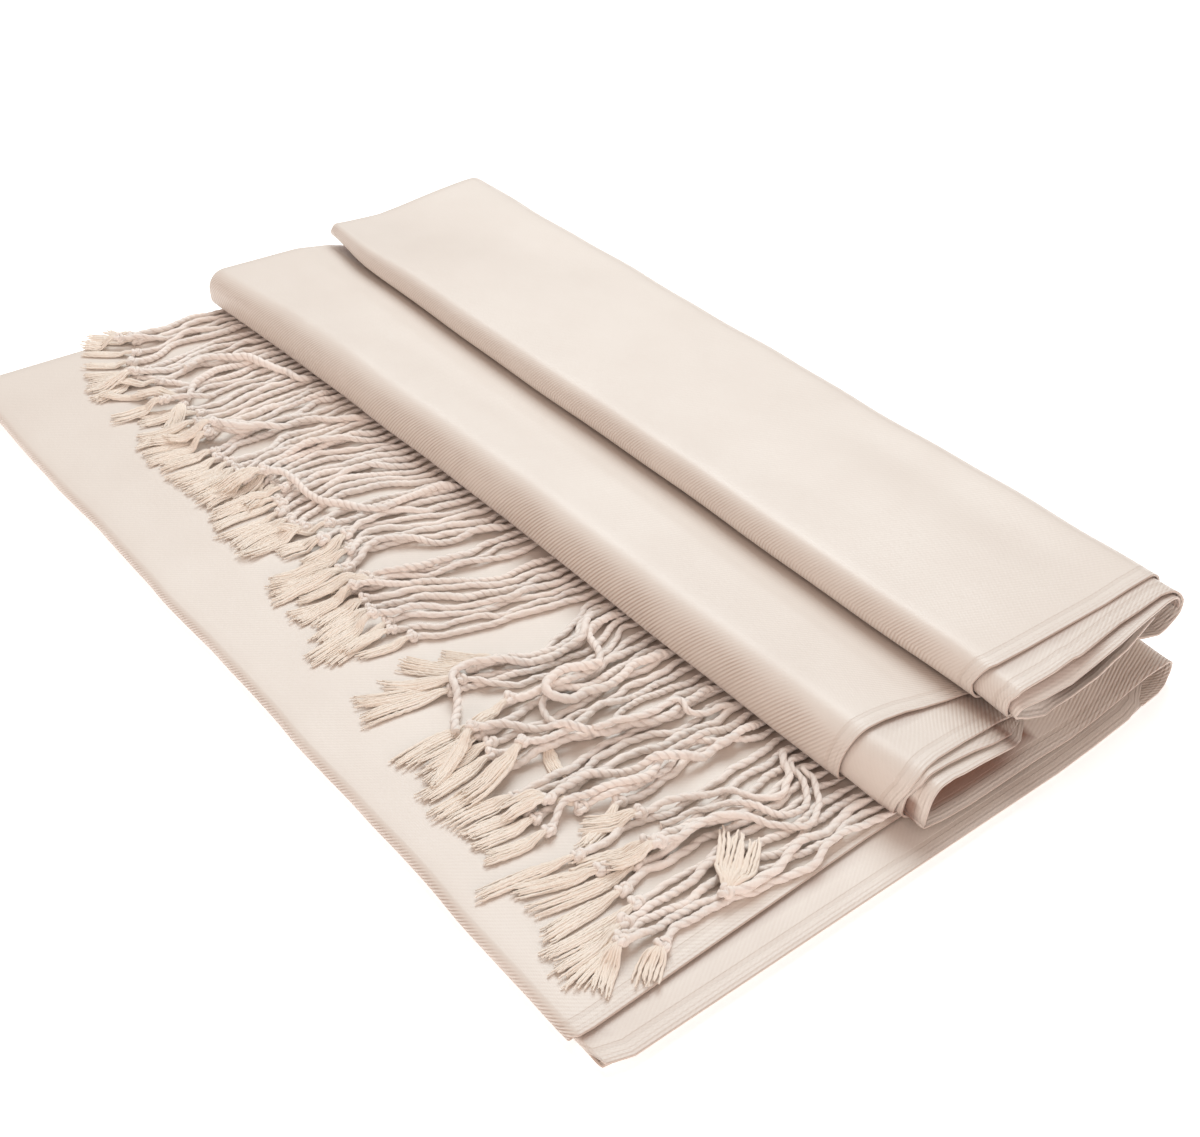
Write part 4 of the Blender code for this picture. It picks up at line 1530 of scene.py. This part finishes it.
MIDDLE_INNER = NearEdge((
    Hem(50.0, 8.3, 164.5, -3.0), Hem(3.0, 8.3, 164.5, -3.0), Hem(-1.5, 12.0, 166.6, -1.5),
    Hem(-0.5, 17.0, 168.4, -0.5), Hem(3.0, 20.0, 168.4, -0.5), Hem(7.0, 21.0, 167.6, -0.4),
    Hem(11.0, 21.0, 167.1), Hem(24.0, 19.0, 166.5), Hem(33.0, 17.4, 165.8), Hem(44.0, 14.5, 164.6),
    Hem(55.0, 11.5, 163.2), Hem(94.0, 10.8, 162.0),
))
WRAP_OUTER = NearEdge((
    Hem(55.0, 10.4, 157.0), Hem(50.0, 11.6, 161.0), Hem(44.5, 13.0, 166.0), Hem(38.0, 15.0, 169.6),
    Hem(30.0, 16.6, 170.0), Hem(21.0, 18.2, 169.5), Hem(12.7, 19.6, 169.2), Hem(5.5, 19.6, 169.4),
    Hem(2.0, 18.2, 169.6, -0.3), Hem(0.4, 14.0, 167.8, -1.2), Hem(0.6, 11.0, 167.4, -3.0),
    Hem(4.0, 9.6, 168.5, -4.6), Hem(15.0, 9.6, 169.0, -5.0), Hem(46.0, 9.6, 169.0, -4.8),
    Hem(60.0, 8.2, 169.0, -3.6), Hem(92.0, 8.2, 169.0, -2.4), Hem(100.0, 8.2, 168.0, -1.6),
    Hem(104.0, 5.0, 167.0), Hem(95.0, 1.8, 168.0),
), 12.0)
WRAP_INNER = NearEdge((
    Hem(55.0, 9.1, 155.5), Hem(50.0, 10.3, 161.0, 0.2), Hem(46.3, 11.8, 166.0, 0.2),
    Hem(40.0, 13.4, 171.2), Hem(33.6, 14.8, 172.7, 0.3), Hem(21.8, 16.7, 172.9), Hem(14.6, 18.3, 173.0),
    Hem(11.0, 18.4, 172.8), Hem(5.1, 18.0, 173.3), Hem(1.9, 15.0, 173.7, -0.5),
    Hem(1.9, 12.5, 173.5, -3.5), Hem(3.0, 10.9, 173.4, -4.9), Hem(10.0, 10.9, 174.0, -5.6),
    Hem(19.0, 10.9, 174.3, -5.8), Hem(47.0, 10.9, 174.0, -5.5), Hem(60.0, 9.5, 174.0, -4.4),
    Hem(67.0, 9.5, 173.7, -4.0), Hem(77.0, 9.5, 173.0, -3.9), Hem(87.0, 9.5, 172.3, -2.9),
    Hem(95.0, 9.5, 172.0, -2.4), Hem(101.0, 9.5, 172.0, -2.0), Hem(105.0, 8.0, 172.0, -1.5),
    Hem(106.3, 5.0, 171.8, -0.5), Hem(105.5, 2.0, 172.4), Hem(102.0, 0.5, 173.5), Hem(97.0, 0.5, 174.4),
    Hem(90.4, 0.5, 175.0),
), 20.0)
# Where the painted shade inside the wrap's fold mouth begins, as (y, gap) places.
WRAP_MOUTH = ((4.0, 2.5), (34.0, 2.5), (48.0, 4.0), (62.0, 40.0))
TOP_OUTER = NearEdge((
    Hem(97.0, 22.5, 158.0), Hem(60.0, 13.5, 158.0), Hem(49.0, 15.8, 158.0, -1.0),
    Hem(42.0, 19.0, 158.0, -1.0), Hem(33.7, 21.0, 157.0), Hem(33.7, 25.0, 156.4),
    Hem(35.0, 29.5, 157.8), Hem(41.0, 30.0, 158.6, -0.3), Hem(50.0, 30.0, 158.9, -0.5),
    Hem(85.0, 30.0, 159.3, -0.6), Hem(95.0, 30.0, 159.0, -0.4), Hem(104.0, 30.0, 159.0, -0.4),
    Hem(111.5, 22.0, 158.6), Hem(95.0, 13.4, 158.0),
))
TOP_INNER = NearEdge((
    Hem(97.0, 23.8, 166.5), Hem(60.0, 14.8, 167.5), Hem(49.0, 17.1, 165.5, -2.6),
    Hem(42.0, 20.2, 166.0, -2.8), Hem(35.0, 21.5, 167.5, -0.6), Hem(35.0, 25.0, 167.4),
    Hem(37.2, 28.7, 168.4, -0.4), Hem(50.0, 28.7, 168.6, -0.3), Hem(58.0, 28.7, 168.2),
    Hem(63.0, 28.7, 168.5, -0.1), Hem(67.0, 28.7, 168.0), Hem(74.0, 28.7, 167.4),
    Hem(81.0, 28.7, 166.5), Hem(91.0, 28.7, 166.2), Hem(97.0, 28.7, 165.7),
    Hem(102.0, 28.7, 165.6, 0.1), Hem(106.0, 28.0, 166.2), Hem(110.2, 24.0, 167.8),
    Hem(110.2, 20.0, 167.8), Hem(109.0, 15.5, 167.2), Hem(104.0, 14.7, 166.8, -0.5),
    Hem(99.0, 14.7, 165.4), Hem(96.5, 14.7, 163.4), Hem(87.0, 14.7, 158.0),
))
TOP_THIRD = NearEdge((
    Hem(97.0, 25.1, 168.0), Hem(81.5, 19.9, 170.0, 1.4), Hem(76.8, 18.2, 170.0, 1.8),
    Hem(72.5, 16.5, 170.0, 1.5), Hem(67.7, 16.1, 170.0, 1.0), Hem(58.3, 16.1, 170.0, -0.2),
    Hem(53.6, 17.0, 170.0, -1.5), Hem(49.0, 18.4, 170.2, -3.0), Hem(42.0, 21.5, 170.0, -3.0),
    Hem(36.3, 22.6, 169.6, -1.5), Hem(36.3, 24.0, 170.0, -1.5), Hem(39.0, 27.4, 170.6, -3.0),
    Hem(46.6, 27.4, 171.5, -2.9), Hem(56.0, 27.4, 171.5, -3.6), Hem(65.0, 27.4, 171.5, -1.8),
    Hem(75.5, 27.4, 171.0, -0.3), Hem(87.5, 27.4, 169.5), Hem(99.8, 27.4, 168.0, 0.3),
    Hem(104.0, 27.4, 167.8, 0.1), Hem(108.9, 23.0, 167.6),
), 5.0)


# ---------------------------------------------------------------- the whole wrap


DRAPE = Drape(
    creases=(
        Crease((-170.0, 60.0), (-60.0, 95.0), 0.5, 14.0, 13.0, 28.0, 4.0),
        Crease((-20.0, 52.0), (110.0, 66.0), 0.4, 12.0, 13.0, 28.0, -5.0),
        Crease((40.0, 92.0), (165.0, 84.0), 0.45, 10.0, 13.0, 28.0, 3.0),
        Crease((-120.0, 12.0), (20.0, 20.0), 0.4, 7.0, 9.0, 20.0, 2.0),
        Crease((-160.0, -90.0), (10.0, -97.0), 0.35, 8.0, 0.5, 4.5, 3.0),
        Crease((-60.0, -40.0), (-150.0, 60.0), -0.3, 12.0, 0.2, 3.0, 3.0),
        Dip(-112.0, -178.0, 15.0, 23.0, ((36.0, 0.0), (44.0, -1.2), (59.0, -2.6), (70.0, -2.0), (80.0, -1.1),
                                         (90.0, -0.4), (99.0, 0.0))),
    ),
    waves=(
        Wave(-107.0, 14.0, -3.0, 9.0, ((0.3, 83.0, 0.4), (0.12, 37.0, 2.0), (0.04, 19.0, 1.0))),
        Wave(-8.0, 16.0, 7.0, 26.0, ((0.35, 130.0, 1.4), (0.15, 47.0, 0.3))),
        Wave(34.0, 12.0, 18.0, 34.0, ((0.35, 150.0, 0.4), (0.12, 52.0, 2.3))),
        Wave(111.0, 16.0, 13.0, 34.0, ((0.4, 90.0, 1.0), (0.2, 38.0, 2.0))),
        Wave(104.0, 12.0, -3.0, 12.0, ((0.4, 75.0, 0.2), (0.2, 31.0, 1.1))),
    ),
)


@dataclass
class HeadWrap:
    """The whole folded wrap."""

    bundle: Bundle = BUNDLE
    sheets: list[ClothSheet] = field(default_factory=list, init=False)
    fringe: Fringe | None = field(default=None, init=False)

    def trace(self, bends_at: Callable[[float], tuple[Bend, ...]], step: float = 2.8) -> Trace:
        """A path of the bundle."""
        return Trace(bends_at, self.bundle.far, step)

    def leaves(self) -> None:
        """Lists the sheets from the lowest leaf to the top one."""
        bundle, pitch = self.bundle, self.bundle.pitch
        self.sheets = [
            ClothSheet("base_leaf_cloth", self.trace(bundle.base_bends, 3.3),
                       (ClothPly(0.0, BASE_OUTER),
                        ClothPly(pitch, BASE_INNER, folds=0.0, strip=((0.0, 0.03),), cover=BASE_OUTER,
                                 shade=0.4)),
                       CREAM, Slot.TWILL, ("base_leaf",), ("wrap_cloth",), DRAPE, 3.3),
            ClothSheet("fringed_end_cloth", self.trace(bundle.end_bends, 3.3),
                       (ClothPly(0.0, NearEdge((Hem(-10.0, 5.7, 161.0), Hem(90.0, 5.7, 150.0)))),),
                       CREAM, Slot.TWILL, ("fringed_end",), ("base_leaf_cloth",), DRAPE, 3.3),
            ClothSheet("middle_leaf_cloth", self.trace(bundle.middle_bends),
                       (ClothPly(0.0, MIDDLE_OUTER, strip=((4.0, -0.7), (12.0, 0.0), (34.0, 0.3)),
                                 lines_from=7.6),
                        ClothPly(pitch, MIDDLE_INNER, folds=0.0, strip=((18.0, 0.0), (36.0, 0.8)),
                                 cover=MIDDLE_OUTER)),
                       CREAM, Slot.TWILL, ("middle_leaf",), ("base_leaf_cloth", "fringed_end_cloth"), DRAPE),
            ClothSheet("wrap_cloth", self.trace(bundle.wrap_bends),
                       (ClothPly(0.0, WRAP_OUTER, folds=0.0, strip=((20.0, 0.0), (58.0, 1.0)),
                                 cover=MIDDLE_INNER, mouth=WRAP_MOUTH),
                        ClothPly(-pitch, WRAP_INNER, folds=0.0, strip=((20.0, 0.0), (56.0, 0.2), (70.0, 1.0)),
                                 mouth=WRAP_MOUTH)),
                       CREAM_ASKEW, Slot.TWILL, ("wrap_ply",), (), DRAPE),
            ClothSheet("top_leaf_cloth", self.trace(bundle.top_bends),
                       (ClothPly(0.0, TOP_OUTER, folds=0.6, strip=((36.0, -0.5), (41.0, 0.0))),
                        ClothPly(pitch, TOP_INNER, folds=0.2, strip=((55.0, 0.02), (85.0, 0.28)),
                                 cover=TOP_OUTER)),
                       CREAM_ASKEW, Slot.TWILL, ("top_leaf",), ("middle_leaf_cloth",), DRAPE),
            ClothSheet("top_inner_cloth", self.trace(bundle.top_inner_bends),
                       (ClothPly(2.0 * pitch, TOP_THIRD, folds=0.2, strip=((60.0, 0.02), (100.0, 0.15)),
                                 cover=TOP_INNER),),
                       CREAM_ASKEW, Slot.TWILL, ("top_inner_ply",), ("top_leaf_cloth",), DRAPE, flip=True),
        ]
        for name, bends_at, node in (("middle", bundle.middle_inside, "middle_hidden_layers"),
                                     ("top", bundle.top_inside, "top_hidden_layers")):
            self.sheets.append(ClothSheet(
                f"{name}_hidden_cloth", self.trace(bends_at, 3.3),
                (ClothPly(0.0, NearEdge((Hem(30.0, 12.0, 130.0),)), -158.0),
                 ClothPly(pitch, NearEdge((Hem(30.0, 12.0, 134.0),)), -158.0)),
                CREAM_SHADED_INSIDE, Slot.HIDDEN_TWILL, (node,), (f"{name}_leaf_cloth",), DRAPE, 4.0))

    def build(self) -> None:
        """Builds every piece and joins it to the model."""
        self.leaves()
        for sheet in self.sheets:
            sheet.build()
            sheet.place()
            faces = len(sheet.piece.data.loop_triangles) or len(sheet.piece.data.polygons) * 2
            LOG.info("%s: %d triangles, flat %.3f x %.3f m", sheet.name, faces, *sheet.flat)
        self.fringe = Fringe(self.bundle)
        for piece in self.fringe.build():
            LOG.info("%s: %d triangles", piece.name, sum(len(p.vertices) - 2 for p in piece.data.polygons))
        self.fringe.place()


# ---------------------------------------------------------------- the studio


@dataclass(frozen=True)
class SoftLight:
    """A large soft lamp that looks at the bundle."""

    name: str
    place: tuple[float, float, float]
    size: float
    power: float
    colour: tuple[float, float, float] = (1.0, 1.0, 1.0)

    def build(self) -> None:
        """Hangs the lamp."""
        data = bpy.data.lights.new(self.name, "AREA")
        data.shape = "DISK"
        data.size = self.size
        data.energy = self.power
        data.color = self.colour
        lamp = bpy.data.objects.new(self.name, data)
        lamp.location = self.place
        lamp.rotation_euler = (-Vector(self.place)).to_track_quat("-Z", "Y").to_euler()
        bpy.context.scene.collection.objects.link(lamp)


@dataclass(frozen=True)
class Studio:
    """The floor, the soft light and the camera."""

    sky: float = 0.45
    tint: tuple[float, float, float, float] = (1.0, 0.86, 0.78, 1.0)
    lens: float = 46.06
    lights: tuple[SoftLight, ...] = (
        SoftLight("key", (-0.85, 0.8, 1.45), 1.3, 24.5, (0.90, 1.0, 1.03)),
        SoftLight("fill", (1.9, -0.4, 0.45), 1.4, 13.0, (1.0, 0.87, 0.82)),
        SoftLight("warm side", (-0.1, -1.6, 0.8), 1.3, 6.0, (1.0, 0.84, 0.76)),
    )

    def floor(self) -> None:
        """Lays the pale floor."""
        mesh = bpy.data.meshes.new("floor")
        mesh.from_pydata([(-4, -4, 0), (4, -4, 0), (4, 4, 0), (-4, 4, 0)], [], [(0, 1, 2, 3)])
        mesh.materials.append(PaleFloor().material())
        floor = bpy.data.objects.new("floor", mesh)
        bpy.context.scene.collection.objects.link(floor)

    def world(self) -> None:
        """Fills the surroundings with even, faintly warm light."""
        world = bpy.data.worlds.new("white room")
        world.use_nodes = True
        background = world.node_tree.nodes["Background"]
        background.inputs["Color"].default_value = self.tint
        background.inputs["Strength"].default_value = self.sky
        bpy.context.scene.world = world
        bpy.context.scene.view_settings.view_transform = "Standard"

    def camera(self) -> None:
        """Places the camera."""
        data = bpy.data.cameras.new("camera")
        data.lens = self.lens
        data.sensor_width = 36.0
        data.sensor_fit = "HORIZONTAL"
        data.clip_start, data.clip_end = 0.01, 20.0
        camera = bpy.data.objects.new("camera", data)
        right = Vector((0.61347166, 0.78939727, 0.02246064))
        down = Vector((0.48741861, -0.35610805, -0.79725163))
        ahead = Vector((-0.62134984, 0.50003901, -0.60322911))
        turned = Matrix((right, -down, -ahead)).transposed()
        camera.matrix_world = Matrix.Translation((0.32991, -0.23019, 0.28648)) @ turned.to_4x4()
        bpy.context.scene.collection.objects.link(camera)
        bpy.context.scene.camera = camera

    def build(self) -> None:
        """Sets up the whole studio."""
        self.floor()
        self.world()
        for light in self.lights:
            light.build()
        self.camera()


def main() -> None:
    """Builds the studio and the wrap."""
    logging.basicConfig(level=logging.INFO, format="%(name)s: %(message)s")
    Studio().build()
    HeadWrap().build()


if __name__ == "__main__":
    main()
